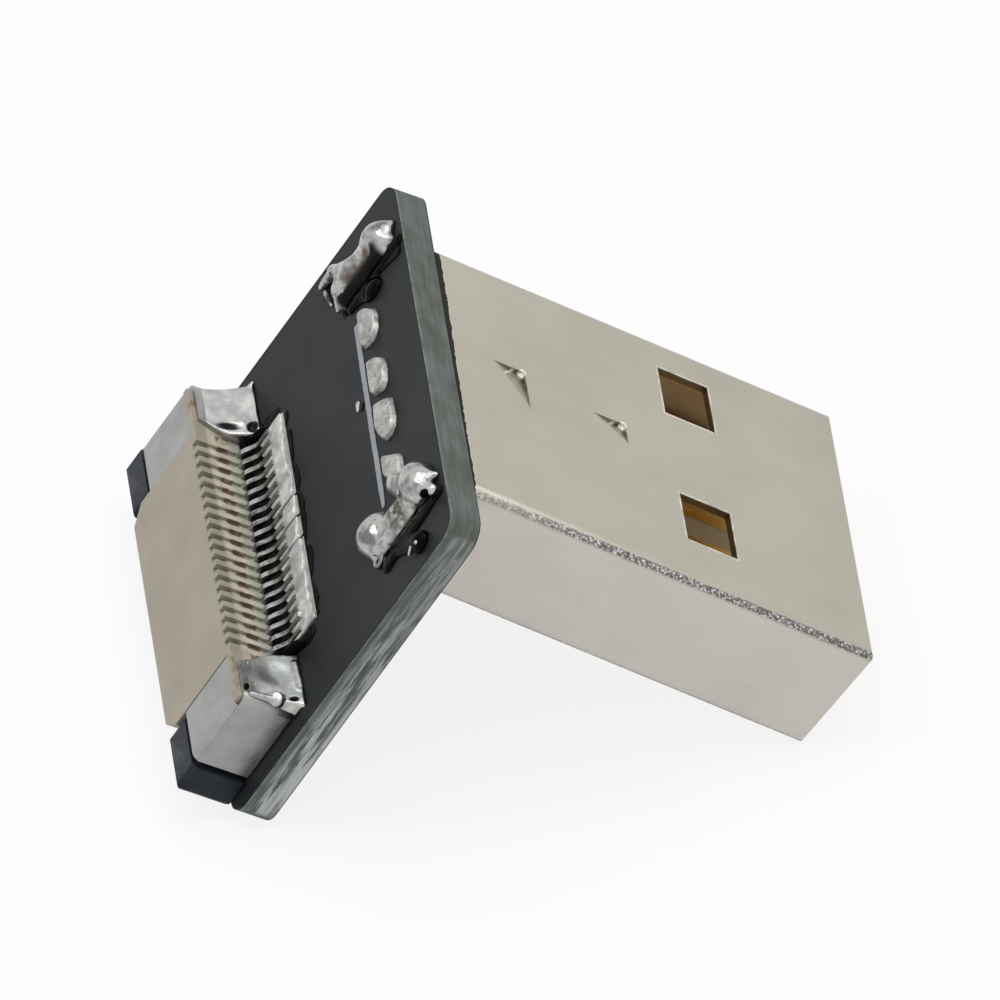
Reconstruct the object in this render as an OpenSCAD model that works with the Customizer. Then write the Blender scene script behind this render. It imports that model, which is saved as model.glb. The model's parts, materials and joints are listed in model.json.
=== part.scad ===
// USB-A plug soldered upright on the back of a small adapter board whose front
// carries a fine-pitch ribbon socket with a sliding lock. All sizes in millimetres.
//
// Board frame: X is the board's thickness (front face at X = 0, plug behind it),
// Y runs across the board, Z = 0 is the board's plug-side edge and the board
// hangs down from it. stand() then leans the whole part onto the two edges that
// it rests on: the board's lower back edge and the plug's lower mouth edge.

/* [Circuit board] */
// width across the board
board_w = 16.8; // [16.2:0.1:20]
// from the plug-side edge to the socket-side edge
board_h = 14.4; // [13.6:0.1:18]
// laminate thickness
board_t = 1.2; // [0.8:0.1:1.6]
// radius of the board's corners
board_corner_r = 0.8; // [0.4:0.1:1.5]
// plated hole for each plug contact
pin_hole_d = 1.0; // [0.9:0.05:1.1]
// gap round a shell leg in its slot, filled by solder
leg_slot_clear = 0.2; // [0.15:0.05:0.3]
// part of each slot that the solder leaves open beside the leg
slot_open = 0.4; // [0.3:0.05:0.5]

/* [Plug] */
// shell width
shell_w = 12.0; // [11.9:0.05:12.1]
// shell height
shell_h = 4.5; // [4.4:0.05:4.6]
// sheet thickness of the shell
shell_t = 0.3; // [0.25:0.05:0.35]
// outer radius of the shell's folds
shell_bend_r = 0.5; // [0.4:0.05:0.6]
// from the board's back face to the mouth, along the plug
plug_reach = 16.0; // [14.5:0.1:19]
// plug's centre line below the board's upper edge, at the back face
plug_row = 2.5; // [2.4:0.05:3]
// angle between the plug and the board's normal, as soldered by hand
plug_lean = 4; // [0:0.5:5]
// gap between the shell's cut end and the board
shell_gap = 0.2; // [0.1:0.05:0.4]
// chamfer round the outside of the mouth
mouth_chamfer = 0.12; // [0.05:0.01:0.2]
// latch window, along the plug
window_l = 2.0; // [1.8:0.1:2.4]
// latch window, across the plug
window_w = 2.2; // [2:0.1:2.5]
// from the mouth to the near edge of the windows
window_from_mouth = 5.2; // [5:0.1:5.5]
// each window's centre from the plug's centre line
window_offset = 3.05; // [2.9:0.05:3.2]
// both windows sit this far off the centre line
window_shift = 0.35; // [0:0.05:0.4]
// width of each shell leg
leg_w = 2.4; // [2:0.1:3]
// how far the legs stand out of the board's front
leg_out = 0.3; // [0.2:0.05:0.35]
// how far the clipped pins stand out of the board's front
pin_out = 0.15; // [0.1:0.05:0.25]
// depth of the pressed retaining marks
mark_depth = 0.17; // [0.1:0.01:0.2]
// seam gap on the closed side of the shell
seam_gap = 0.06; // [0.04:0.01:0.1]

/* [Plug inside] */
// thickness of the moulding's tongue
tongue_t = 1.95; // [1.8:0.05:1.95]
// tongue's clearance from each narrow side of the shell
tongue_side_clear = 0.3; // [0.3:0.05:0.4]
// slope on the tongue's front edge
tongue_nose = 0.35; // [0.2:0.05:0.5]
// how far the contact tips dip into the tongue
tip_dip = 0.35; // [0.25:0.05:0.45]
// tongue's end, back from the mouth
tongue_back = 0.8; // [0.6:0.1:1.2]
// how far the moulding fills the shell from the board
base_l = 5.0; // [3.5:0.1:5.5]
// contact strip width
contact_w = 1.0; // [0.8:0.05:1.1]
// contact strip thickness
contact_t = 0.25; // [0.2:0.05:0.3]
// how far the strips stand proud of the tongue
contact_proud = 0.05; // [0.03:0.01:0.1]
// width of a contact's tail in its hole
tail_w = 0.6; // [0.5:0.05:0.7]
// centre distance of the two inner contacts
inner_pitch = 2.0; // [1.9:0.1:2.1]
// centre distance of the two outer contacts
outer_pitch = 7.0; // [6.9:0.1:7.1]

/* [Ribbon socket] */
// contact pitch
pitch = 0.5; // [0.5:0.01:0.52]
// height above the board
socket_h = 2.1; // [2:0.05:2.3]
// depth from the back wall to the mouth
socket_l = 4.2; // [4:0.1:4.6]
// mouth's distance past the board's edge
mouth_out = 0.0; // [-0.2:0.05:0.1]
// floor of the ribbon slot
slot_floor = 0.6; // [0.55:0.05:0.7]
// height of the slot that ribbon and slider share
slot_h = 0.9; // [0.85:0.05:0.95]
// side wall between slot and lock ears
side_wall = 0.2; // [0.15:0.05:0.25]
// blade thickness of a socket contact
blade_t = 0.2; // [0.16:0.02:0.22]
// clearance each side of a blade in its channel
blade_clear = 0.03; // [0.02:0.01:0.05]
// chamfer on the cover's mouth corners
cover_chamfer = 0.6; // [0.4:0.1:0.7]

/* [Slider] */
// how far the lock slides out
slide_travel = 1.0; // [0.8:0.1:1.2]
// width of each ear across the board
ear_w = 2.3; // [2:0.1:2.4]
// how far the ears stand out past the mouth
ear_out = 0.15; // [0.1:0.05:0.2]
// thickness of the slider's bar and tongue
bar_t = 0.5; // [0.4:0.05:0.55]
// width of each guide arm
arm_w = 0.5; // [0.4:0.05:0.6]
// height of each guide arm
arm_h = 0.6; // [0.5:0.05:0.7]
// length of each guide arm
arm_l = 2.1; // [1.8:0.1:2.3]
// length of each ear in the sliding direction
ear_l = 1.15; // [1:0.05:1.25]
// running clearance all round the slider
slide_clear = 0.08; // [0.05:0.01:0.1]
// chamfer on the ears' outer edges
ear_chamfer = 0.15; // [0.1:0.01:0.2]

/* [Hold-downs] */
// sheet thickness
hold_t = 0.15; // [0.12:0.01:0.2]
// outer fold radius
hold_r = 0.3; // [0.25:0.05:0.35]
// length in the sliding direction
hold_l = 3.0; // [2.8:0.05:3.05]
// overall width of the socket over both hold-downs
socket_w = 15.2; // [14.9:0.1:15.4]
// strip of housing left bare between the top flap and the back tab
flap_relief = 0.3; // [0.2:0.05:0.4]
// slant on the inner edge of the back tab
tab_slant = 0.5; // [0.3:0.1:0.7]

/* [Pads and solder] */
// tinned copper thickness
pad_t = 0.05; // [0.03:0.01:0.07]
// length of the contact pads
pad_l = 1.6; // [1.4:0.1:1.8]
// distance from the socket's back wall to the far edge of the pads
pad_reach = 2.2; // [2:0.1:2.4]
// gap between neighbouring groups of pads
pad_gap = 0.12; // [0.1:0.01:0.15]
// solder height over the pads
solder_t = 0.09; // [0.06:0.01:0.12]
// bare end of each pad, past the solder
pad_bare = 0.25; // [0.1:0.05:0.4]
// length of a contact's foot on its pad
foot_l = 0.6; // [0.4:0.05:0.7]
// thickness of a contact's foot and tail
tail_t = 0.16; // [0.12:0.01:0.2]
// solder fillet behind a hold-down: reach over the pad
fillet_reach = 0.55; // [0.4:0.05:0.65]
// solder fillet behind a hold-down: height
fillet_rise = 1.7; // [1.2:0.1:1.9]
// width of a pad beside and behind its hold-down
pad_margin = 0.1; // [0.1:0.05:0.3]
// how far the solder on each pin lies off the pin
pin_joint_shift = 0.2; // [0:0.05:0.2]
// distance of the leg joints' humps from the middle of the legs, across the board
joint_shift = 0.65; // [0.4:0.05:0.7]
// radius of the leg joints' humps
hump_r = 0.9; // [0.8:0.05:1]
// radius of the saddle between two humps
saddle_r = 0.6; // [0.5:0.05:0.7]
// height of the pin joints
joint_h = 0.35; // [0.3:0.05:0.6]
// distance of the printed line from the pins
print_gap = 0.9; // [0.8:0.05:1.2]
// printed line: width
print_w = 0.18; // [0.15:0.01:0.25]
// printed line: length
print_l = 8.6; // [8:0.1:9.5]
// gap between the printed line's start and the leg joint beside it
print_clear = 0.05; // [0.03:0.01:0.1]

/* [Hidden] */
contact_names = ["plug_contact_1", "plug_contact_2", "plug_contact_3", "plug_contact_4"];
blade_count = 20;
$fn = 48;
eps = 0.01;
far = 60;

// plug: rows, folds and ends
contact_y = [outer_pitch / 2, inner_pitch / 2, -inner_pitch / 2, -outer_pitch / 2];
inner_w = shell_w - 2 * shell_t;
inner_h = shell_h - 2 * shell_t;
inner_r = shell_bend_r - shell_t;
tongue_w = inner_w - 2 * tongue_side_clear;
tongue_top = -inner_h / 2 + tongue_t;
strip_z = tongue_top + contact_proud - contact_t;
tongue_end = plug_reach - tongue_back;
strip_end = tongue_end - 0.6;
window_x = plug_reach - window_from_mouth - window_l;
leg_y = shell_w / 2 - shell_t;
pin_row = plug_row - (strip_z + contact_t / 2) / cos(plug_lean) - board_t / 2 * tan(plug_lean);
leg_row = plug_row - board_t / 2 * tan(plug_lean);
leg_mid = leg_y + shell_t / 2;
slot_l = leg_w / cos(plug_lean) + board_t * tan(plug_lean) + 2 * leg_slot_clear;

// ribbon socket: distances from the plug-side edge of the board (row) and heights
mouth_row = board_h + mouth_out;
back_row = mouth_row - socket_l;
row_w = (blade_count - 1) * pitch;
slot_half = row_w / 2 + 0.4;
core_half = slot_half + side_wall;
block_half = socket_w / 2 - hold_t;
block_end = back_row + hold_l;
channel_w = blade_t + 2 * blade_clear;
channel_z = slot_floor - 0.2;
channel_top = slot_floor + slot_h + 0.2;
foot_row = back_row - pad_reach + pad_l / 2;
function blade_y(i) = -row_w / 2 + (i - 1) * pitch;
function blade_name(i) = str("fpc_contact_", i < 10 ? "0" : "", i);

// slider
ear_in = core_half + slide_clear;
ear_row = mouth_row + ear_out - ear_l;
ear_h = socket_h - 0.05;
bar_row = mouth_row - 0.4;
bar_l = mouth_row + ear_out - 0.1 - bar_row;
tongue_z = slot_floor + slot_h - bar_t;
arm_y = ear_in + 0.45;
arm_z = (socket_h - arm_h) / 2;

// pad groups: first and last contact of each
pad_groups = [[1, 8], [9, 10], [11, 12], [13, 20]];

// rest posture: board's lower back edge and plug's lower mouth edge on the floor
rest_a = plug_reach - mouth_chamfer;
rest_x = rest_a * cos(plug_lean) - shell_h / 2 * sin(plug_lean);
rest_z = plug_row + rest_a * sin(plug_lean) + shell_h / 2 * cos(plug_lean);
tilt = atan((board_h - rest_z) / rest_x);
stand_z = board_t * sin(tilt) + board_h * cos(tilt);
function lean_x(x, z) = x * cos(tilt) + z * sin(tilt);
function plug_x(a, c) = lean_x(board_t + a * cos(plug_lean) + c * sin(plug_lean),
                               -plug_row - a * sin(plug_lean) + c * cos(plug_lean));
min_x = min(lean_x(-socket_h, -mouth_row), lean_x(-ear_h, -ear_row - ear_l + ear_chamfer),
            lean_x(-ear_h + ear_chamfer, -ear_row - ear_l));
max_x = max(plug_x(plug_reach - mouth_chamfer, shell_h / 2),
            plug_x(plug_reach, shell_h / 2 - mouth_chamfer));

// ---- placing ----

module stand() {
    translate([-(min_x + max_x) / 2, 0, stand_z])
        rotate([0, tilt, 0])
            children();
}

// plug frame: X along the plug from the board's back face, Z towards the open face
module on_plug() {
    translate([board_t, 0, -plug_row])
        rotate([0, plug_lean, 0])
            children();
}

// front frame: X across, Y away from the plug-side edge, Z up from the front face
module on_front() {
    rotate([0, -90, 0])
        rotate([0, 0, 90])
            children();
}

module mirrored(side) {
    if (side > 0) children();
    else mirror([1, 0, 0]) children();
}

// everything at least gap behind the board's back face
module behind_board(gap) {
    translate([board_t + gap, -far / 2, -far / 2])
        cube([far, far, far]);
}

// ---- outlines ----

module rounded(w, h, r) {
    square([w - 2 * r, h], center = true);
    square([w, h - 2 * r], center = true);
    for (x = [-1, 1])
        for (y = [-1, 1])
            translate([x * (w / 2 - r), y * (h / 2 - r)])
                circle(r = r);
}

// solid along the plug with the shell's cross-section style
module plug_prism(from, to, w, h, r) {
    translate([from, 0, 0])
        rotate([90, 0, 90])
            linear_extrude(height = to - from)
                rounded(w, h, r);
}

// ---- plug ----

module shell_windows() {
    for (side = [-1, 1])
        translate([window_x, window_shift + side * window_offset - window_w / 2, -shell_h])
            cube([window_l, window_w, 2 * shell_h]);
}

// a slit as wide as the seam from one point to another
module slit(from, to) {
    run = to - from;
    translate(from)
        rotate([0, 0, atan2(run[1], run[0])])
            translate([-seam_gap / 2, -seam_gap / 2])
                square([norm(run) + seam_gap, seam_gap]);
}

// closed side: one slit with two dovetailed keys
module shell_seam() {
    key = 1.4;
    flare = 0.25;
    tooth = 1.1;
    first = plug_reach * 0.3;
    second = plug_reach * 0.72;
    path = [[-1, 0], [first, 0], [first - flare, tooth], [first + key + flare, tooth],
            [first + key, 0], [second, 0], [second - flare, tooth],
            [second + key + flare, tooth], [second + key, 0], [plug_reach + 1, 0]];
    translate([0, 0, -shell_h / 2 - eps])
        linear_extrude(height = shell_t + 2 * eps)
            for (i = [1 : len(path) - 1])
                slit(path[i - 1], path[i]);
}

// a corner pressed into the sheet: deepest at the origin and running out to the
// surface after run_x along the plug and run_y across it
module pressed_corner(run_x, run_y) {
    translate([0, 0, shell_h / 2 - mark_depth])
        rotate([-atan(mark_depth / run_y), atan(mark_depth / run_x), 0])
            translate([-4, -4, 0])
                cube([4, 4, 1]);
}

// retaining marks that hold the moulding
module shell_marks() {
    translate([3.0, 1.3, 0])
        pressed_corner(1.25, 1.8);
    translate([6.95, 0.75, 0])
        pressed_corner(1.3, 0.9);
}

module shell_mouth_chamfer() {
    c = mouth_chamfer;
    for (side = [-1, 1]) {
        translate([plug_reach, 0, side * shell_h / 2])
            rotate([0, 45, 0])
                cube([c * sqrt(2), far, c * sqrt(2)], center = true);
        translate([plug_reach, side * shell_w / 2, 0])
            rotate([0, 0, 45])
                cube([c * sqrt(2), c * sqrt(2), far], center = true);
    }
}

module shell_legs() {
    for (side = [-1, 1])
        translate([-board_t - leg_out, side > 0 ? leg_y : -leg_y - shell_t, -leg_w / 2])
            cube([board_t + leg_out + 2, shell_t, leg_w]);
}

module plug_shell() {
    color([0.74, 0.72, 0.68])
        stand() {
            intersection() {
                on_plug()
                    difference() {
                        plug_prism(-1, plug_reach, shell_w, shell_h, shell_bend_r);
                        plug_prism(-2, plug_reach + 1, inner_w, inner_h, inner_r);
                        shell_windows();
                        shell_seam();
                        shell_marks();
                        shell_mouth_chamfer();
                    }
                behind_board(shell_gap);
            }
            on_plug()
                shell_legs();
        }
}

// one contact: flat strip with its tip tucked into the tongue, and a narrow tail
module contact_strip(i) {
    dip = tip_dip;
    translate([0, contact_y[i] + contact_w / 2, strip_z])
        rotate([90, 0, 0])
            linear_extrude(height = contact_w)
                polygon([[1, 0], [strip_end - dip, 0], [strip_end, -dip],
                         [strip_end + 0.25, -dip], [strip_end + 0.25, contact_t - dip],
                         [strip_end, contact_t - dip], [strip_end - dip, contact_t],
                         [1, contact_t]]);
    translate([-board_t - pin_out, contact_y[i] - tail_w / 2, strip_z])
        cube([board_t + pin_out + 1 + eps, tail_w, contact_t]);
}

module plug_contact(i) {
    color([0.85, 0.68, 0.3])
        stand()
            on_plug()
                contact_strip(i);
}

module plug_insulator() {
    nose = tongue_nose;
    color([0.86, 0.86, 0.83])
        stand()
            difference() {
                intersection() {
                    on_plug()
                        union() {
                            plug_prism(-1, base_l, inner_w, inner_h, inner_r);
                            translate([base_l - eps, tongue_w / 2, -inner_h / 2])
                                rotate([90, 0, 0])
                                    linear_extrude(height = tongue_w)
                                        polygon([[0, 0], [tongue_end - base_l, 0],
                                                 [tongue_end - base_l, tongue_t - nose],
                                                 [tongue_end - base_l - nose, tongue_t],
                                                 [0, tongue_t]]);
                        }
                    behind_board(0);
                }
                on_plug()
                    for (i = [0 : 3])
                        contact_strip(i);
            }
}

// ---- circuit board ----

module board_slots() {
    for (side = [-1, 1])
        translate([-board_t, side * leg_mid - shell_t / 2 - slot_open, -leg_row - slot_l / 2])
            cube([3 * board_t, shell_t + slot_open + leg_slot_clear, slot_l]);
}

module board_pin_hole(i) {
    translate([-eps, contact_y[i], -pin_row])
        rotate([0, 90, 0])
            cylinder(d = pin_hole_d, h = board_t + 2 * eps);
}

module circuit_board() {
    color([0.13, 0.14, 0.15])
        stand()
            difference() {
                translate([0, 0, -board_h / 2])
                    rotate([90, 0, 90])
                        linear_extrude(height = board_t)
                            rounded(board_w, board_h, board_corner_r);
                board_slots();
                for (i = [0 : 3])
                    board_pin_hole(i);
            }
}

module print_line() {
    color([0.75, 0.76, 0.78])
        stand()
            on_front()
                translate([print_clear + hump_r + joint_shift - leg_mid, pin_row + print_gap, 0])
                    cube([print_l, print_w, 0.02]);
}

// ---- solder on the plug's pins and legs ----

// low oval dome over a pin: a capsule sunk so that joint_h of it shows
module oval_dome(half, r, show) {
    intersection() {
        translate([0, 0, show - r])
            rotate([0, 90, 0])
                translate([0, 0, -half])
                    rotate_extrude()
                        union() {
                            intersection() {
                                circle(r = r);
                                translate([0, -r])
                                    square([r, 2 * r]);
                            }
                            square([r, 2 * half]);
                            translate([0, 2 * half])
                                intersection() {
                                    circle(r = r);
                                    translate([0, -r])
                                        square([r, 2 * r]);
                                }
                        }
        translate([-far / 2, -far / 2, 0])
            cube([far, far, far]);
    }
}

module pin_solder(i) {
    color([0.78, 0.78, 0.76])
        stand()
            difference() {
                union() {
                    on_front()
                        translate([contact_y[i] + pin_joint_shift, pin_row, 0])
                            oval_dome(0.32, 0.7, joint_h);
                    translate([0, contact_y[i], -pin_row])
                        rotate([0, 90, 0])
                            cylinder(d = pin_hole_d, h = board_t);
                }
                on_plug()
                    translate([-board_t - pin_out, contact_y[i] - tail_w / 2, strip_z])
                        cube([2 * board_t + pin_out, tail_w, contact_t]);
            }
}

// two humps joined by a saddle beside and over the leg, with solder down that side
// of the slot
module leg_solder(side) {
    reach = slot_l / 2 - 0.1;
    color([0.8, 0.8, 0.8])
        stand()
            difference() {
                union() {
                    on_front()
                        translate([side * leg_mid + joint_shift, leg_row, 0])
                            intersection() {
                                union() {
                                    for (end = [-1, 1])
                                        translate([0, end * reach, 0])
                                            sphere(r = hump_r);
                                    translate([0, -reach, 0])
                                        rotate([-90, 0, 0])
                                            cylinder(r = saddle_r, h = 2 * reach);
                                }
                                translate([-far / 2, -far / 2, 0])
                                    cube([far, far, far]);
                            }
                    translate([0, side * leg_mid + shell_t / 2, -leg_row - slot_l / 2])
                        cube([board_t, leg_slot_clear, slot_l]);
                }
                on_plug()
                    translate([-board_t - leg_out, side * leg_mid - shell_t / 2, -leg_w / 2])
                        cube([board_t + leg_out + 2, shell_t, leg_w]);
            }
}

// ---- pads and solder under the ribbon socket ----

function group_from(g) = blade_y(pad_groups[g][0]) - pitch / 2 + pad_gap / 2;
function group_to(g) = blade_y(pad_groups[g][1]) + pitch / 2 - pad_gap / 2;

module signal_pads(g) {
    color([0.72, 0.72, 0.7])
        stand()
            on_front()
                translate([group_from(g), back_row - pad_reach, 0])
                    cube([group_to(g) - group_from(g), pad_l, pad_t]);
}

module signal_solder(g) {
    color([0.76, 0.76, 0.75])
        stand()
            on_front()
                difference() {
                    translate([group_from(g), back_row - pad_reach, pad_t])
                        cube([group_to(g) - group_from(g), pad_l - pad_bare, solder_t]);
                    for (i = [pad_groups[g][0] : pad_groups[g][1]])
                        socket_blade(i);
                }
}

module hold_down_pad(side) {
    back = fillet_reach + pad_margin;
    color([0.72, 0.72, 0.7])
        stand()
            on_front()
                mirrored(side)
                    translate([core_half, back_row - hold_t - back, 0])
                        cube([block_half + hold_t + pad_margin - core_half, back + hold_t, pad_t]);
}

// concave fillet from the pad up the hold-down's back tab
module hold_down_solder(side) {
    r = 4;
    chord = norm([fillet_reach, fillet_rise]);
    sag = sqrt(r * r - chord * chord / 4);
    color([0.82, 0.82, 0.82])
        stand()
            on_front()
                mirrored(side)
                    translate([core_half + 0.1, back_row - hold_t, pad_t])
                        rotate([90, 0, 90])
                            linear_extrude(height = block_half + hold_t - core_half - 0.1)
                                difference() {
                                    polygon([[0, 0], [-fillet_reach, 0], [0, fillet_rise]]);
                                    translate([-fillet_reach / 2 - sag * fillet_rise / chord,
                                               fillet_rise / 2 + sag * fillet_reach / chord])
                                        circle(r = r, $fn = 96);
                                }
}

// ---- ribbon socket ----

// blade seen from the side: foot, S-bend, rear column, lower and upper spring arms
module blade_outline() {
    bend = back_row - 0.1;
    heel = foot_row + foot_l;
    steps = 6;
    t = tail_t;
    rise = channel_z - pad_t;
    curve = [for (k = [0 : steps])
        [heel + (bend - heel) * k / steps, pad_t + rise * (1 - cos(180 * k / steps)) / 2]];
    low = concat([[foot_row, pad_t]], curve);
    high = [for (k = [len(low) - 1 : -1 : 0]) low[k] + [0, t]];
    polygon(concat(low, [[back_row + 3.3, channel_z], [back_row + 3.3, channel_z + 0.12],
        [back_row + 3.05, channel_z + 0.42], [back_row + 2.75, channel_z + 0.16],
        [back_row + 0.55, channel_z + 0.2], [back_row + 0.55, channel_top - 0.2],
        [back_row + 2.5, channel_top - 0.16], [back_row + 2.5, channel_top - 0.02],
        [back_row + 0.1, channel_top - 0.02], [back_row + 0.1, channel_z + t]], high));
}

module socket_blade(i) {
    translate([blade_y(i) - blade_t / 2, 0, 0])
        rotate([90, 0, 90])
            linear_extrude(height = blade_t)
                blade_outline();
}

module fpc_contact(i) {
    color([0.72, 0.68, 0.58])
        stand()
            on_front()
                socket_blade(i);
}

// housing seen from above
module housing_plan() {
    r = hold_r - hold_t;
    translate([-block_half, back_row + r])
        square([2 * block_half, hold_l - r]);
    translate([r - block_half, back_row])
        square([2 * (block_half - r), hold_l]);
    for (side = [1, -1])
        translate([side * (block_half - r), back_row + r])
            circle(r = r);
    polygon([[-core_half, back_row + 1], [core_half, back_row + 1],
             [core_half, mouth_row - cover_chamfer],
             [core_half - cover_chamfer, mouth_row], [cover_chamfer - core_half, mouth_row],
             [-core_half, mouth_row - cover_chamfer]]);
}

module housing_solid() {
    r = hold_r - hold_t;
    difference() {
        linear_extrude(height = socket_h)
            housing_plan();
        // recess for each hold-down's top flap, rounded to follow its fold
        for (side = [1, -1])
            mirrored(side) {
                translate([core_half, back_row + flap_relief, socket_h - hold_t])
                    cube([far, hold_l + 1, 1]);
                translate([block_half - r, back_row + flap_relief, socket_h - hold_r])
                    rotate([90, 0, 0])
                        mirror([0, 0, 1])
                            linear_extrude(height = hold_l + 1)
                                difference() {
                                    square([2 * r, 2 * r]);
                                    circle(r = r);
                                }
            }
    }
}

module fpc_housing() {
    color([0.72, 0.68, 0.6])
        stand()
            on_front()
                difference() {
                    housing_solid();
                    // ribbon slot, open at the mouth
                    translate([-slot_half, back_row + 1, slot_floor])
                        cube([2 * slot_half, socket_l, slot_h]);
                    // pocket for the slider's bar, right through both side walls
                    translate([-far / 2, bar_row - slide_clear, slot_floor])
                        cube([far, 1, slot_h]);
                    // contact channels, with their upper end open at the back
                    for (i = [1 : blade_count]) {
                        translate([blade_y(i) - channel_w / 2, back_row - eps, channel_z])
                            cube([channel_w, 3.4, channel_top - channel_z]);
                        translate([blade_y(i) - channel_w / 2, back_row - eps, channel_z])
                            cube([channel_w, 0.28, socket_h]);
                    }
                    // guide channels for the slider's arms
                    for (side = [1, -1])
                        mirrored(side)
                            translate([arm_y - slide_clear, ear_row - arm_l - slide_clear,
                                       arm_z - slide_clear])
                                cube([arm_w + 2 * slide_clear, far, arm_h + 2 * slide_clear]);
                }
}

module slider_ear() {
    c = ear_chamfer;
    difference() {
        translate([ear_in, ear_row, slide_clear])
            cube([ear_w, ear_l, ear_h - slide_clear]);
        // mouth edge, top
        translate([0, ear_row + ear_l, ear_h])
            rotate([45, 0, 0])
                cube([far, c * sqrt(2), c * sqrt(2)], center = true);
        // outer edge, top
        translate([ear_in + ear_w, ear_row, ear_h])
            rotate([0, 45, 0])
                cube([c * sqrt(2), far, c * sqrt(2)], center = true);
        // outer edge, mouth
        translate([ear_in + ear_w, ear_row + ear_l, 0])
            rotate([0, 0, 45])
                cube([c * sqrt(2), c * sqrt(2), far], center = true);
    }
    translate([arm_y, ear_row - arm_l, arm_z])
        cube([arm_w, arm_l + 0.2, arm_h]);
}

module fpc_slider() {
    color([0.16, 0.18, 0.21])
        stand()
            on_front()
                union() {
                    for (side = [1, -1])
                        mirrored(side)
                            slider_ear();
                    // bar from ear to ear
                    translate([-ear_in - 0.2, bar_row, tongue_z - slide_clear])
                        cube([2 * ear_in + 0.4, bar_l, bar_t]);
                    // tongue that presses the ribbon, with a lead-in on its front edge
                    translate([slide_clear - slot_half, bar_row + 0.1, tongue_z])
                        rotate([90, 0, 90])
                            linear_extrude(height = 2 * (slot_half - slide_clear))
                                polygon([[0, 0], [-2.1, 0], [-2.4, 0.15],
                                         [-2.4, bar_t - slide_clear], [0, bar_t - slide_clear]]);
                }
}

// flat outline of a folded corner: two legs of sheet t with outer fold radius r
module folded_corner(w, h, t, r) {
    difference() {
        union() {
            square([w - r, h]);
            square([w, h - r]);
            translate([w - r, h - r])
                circle(r = r);
        }
        translate([-1, -1])
            square([w - r + 1, h - t + 1]);
        translate([-1, -1])
            square([w - t + 1, h - r + 1]);
        translate([w - r, h - r])
            circle(r = r - t);
    }
}

// folded sheet over a housing end: end wall, top flap and back tab
module hold_down(side) {
    w = block_half + hold_t - core_half;
    color([0.66, 0.66, 0.65])
        stand()
            on_front()
                mirrored(side)
                    difference() {
                        union() {
                            translate([core_half, back_row + hold_l, 0])
                                rotate([90, 0, 0])
                                    linear_extrude(height = hold_l - flap_relief)
                                        folded_corner(w, socket_h, hold_t, hold_r);
                            translate([core_half, back_row + hold_l, pad_t])
                                mirror([0, 1, 0])
                                    linear_extrude(height = socket_h - hold_t - pad_t)
                                        folded_corner(w, hold_l + hold_t, hold_t, hold_r);
                        }
                        // under the end wall
                        translate([core_half - 1, back_row - 1, -1])
                            cube([w + 3, hold_l + 3, 1 + pad_t]);
                        // slanted inner edge of the back tab
                        translate([core_half, back_row + eps, socket_h - hold_t])
                            rotate([90, 0, 0])
                                linear_extrude(height = 1)
                                    polygon([[-1, 1], [-1, -2 * tab_slant], [0, -2 * tab_slant],
                                             [tab_slant, 0], [tab_slant, 1]]);
                    }
}

plug_shell();
plug_insulator();
for (i = [0 : 3]) {
    plug_contact(i);
    pin_solder(i);
    signal_pads(i);
    signal_solder(i);
}
circuit_board();
print_line();
fpc_housing();
fpc_slider();
for (i = [1 : blade_count])
    fpc_contact(i);
for (k = [1 : 2]) {
    leg_solder(3 - 2 * k);
    hold_down(3 - 2 * k);
    hold_down_pad(3 - 2 * k);
    hold_down_solder(3 - 2 * k);
}
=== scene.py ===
import json
import math

import bpy
import numpy as np
from mathutils import Matrix, Vector


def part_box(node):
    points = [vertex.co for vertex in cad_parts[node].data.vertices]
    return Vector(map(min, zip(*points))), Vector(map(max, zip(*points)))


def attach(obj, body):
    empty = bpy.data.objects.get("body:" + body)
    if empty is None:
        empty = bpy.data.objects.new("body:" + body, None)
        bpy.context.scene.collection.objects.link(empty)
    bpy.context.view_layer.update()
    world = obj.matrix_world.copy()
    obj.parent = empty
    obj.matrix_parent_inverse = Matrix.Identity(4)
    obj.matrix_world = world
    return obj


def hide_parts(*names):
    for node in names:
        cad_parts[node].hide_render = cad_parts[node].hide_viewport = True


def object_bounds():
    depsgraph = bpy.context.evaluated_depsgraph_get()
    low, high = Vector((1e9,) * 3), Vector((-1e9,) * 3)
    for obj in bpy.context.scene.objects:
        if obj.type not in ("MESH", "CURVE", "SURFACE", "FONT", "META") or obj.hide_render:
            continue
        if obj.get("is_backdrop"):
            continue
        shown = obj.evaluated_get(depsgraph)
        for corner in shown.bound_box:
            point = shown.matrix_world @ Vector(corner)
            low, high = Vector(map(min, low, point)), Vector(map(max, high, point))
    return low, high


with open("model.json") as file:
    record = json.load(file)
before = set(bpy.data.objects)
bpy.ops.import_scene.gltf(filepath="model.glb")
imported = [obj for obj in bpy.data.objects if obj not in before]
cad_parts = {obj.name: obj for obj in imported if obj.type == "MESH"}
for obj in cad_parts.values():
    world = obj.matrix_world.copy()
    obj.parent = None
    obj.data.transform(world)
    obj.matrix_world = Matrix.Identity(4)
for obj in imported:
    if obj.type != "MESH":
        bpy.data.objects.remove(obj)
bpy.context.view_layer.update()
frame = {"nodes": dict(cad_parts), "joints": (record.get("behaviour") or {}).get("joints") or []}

nodes = frame["nodes"]

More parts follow.
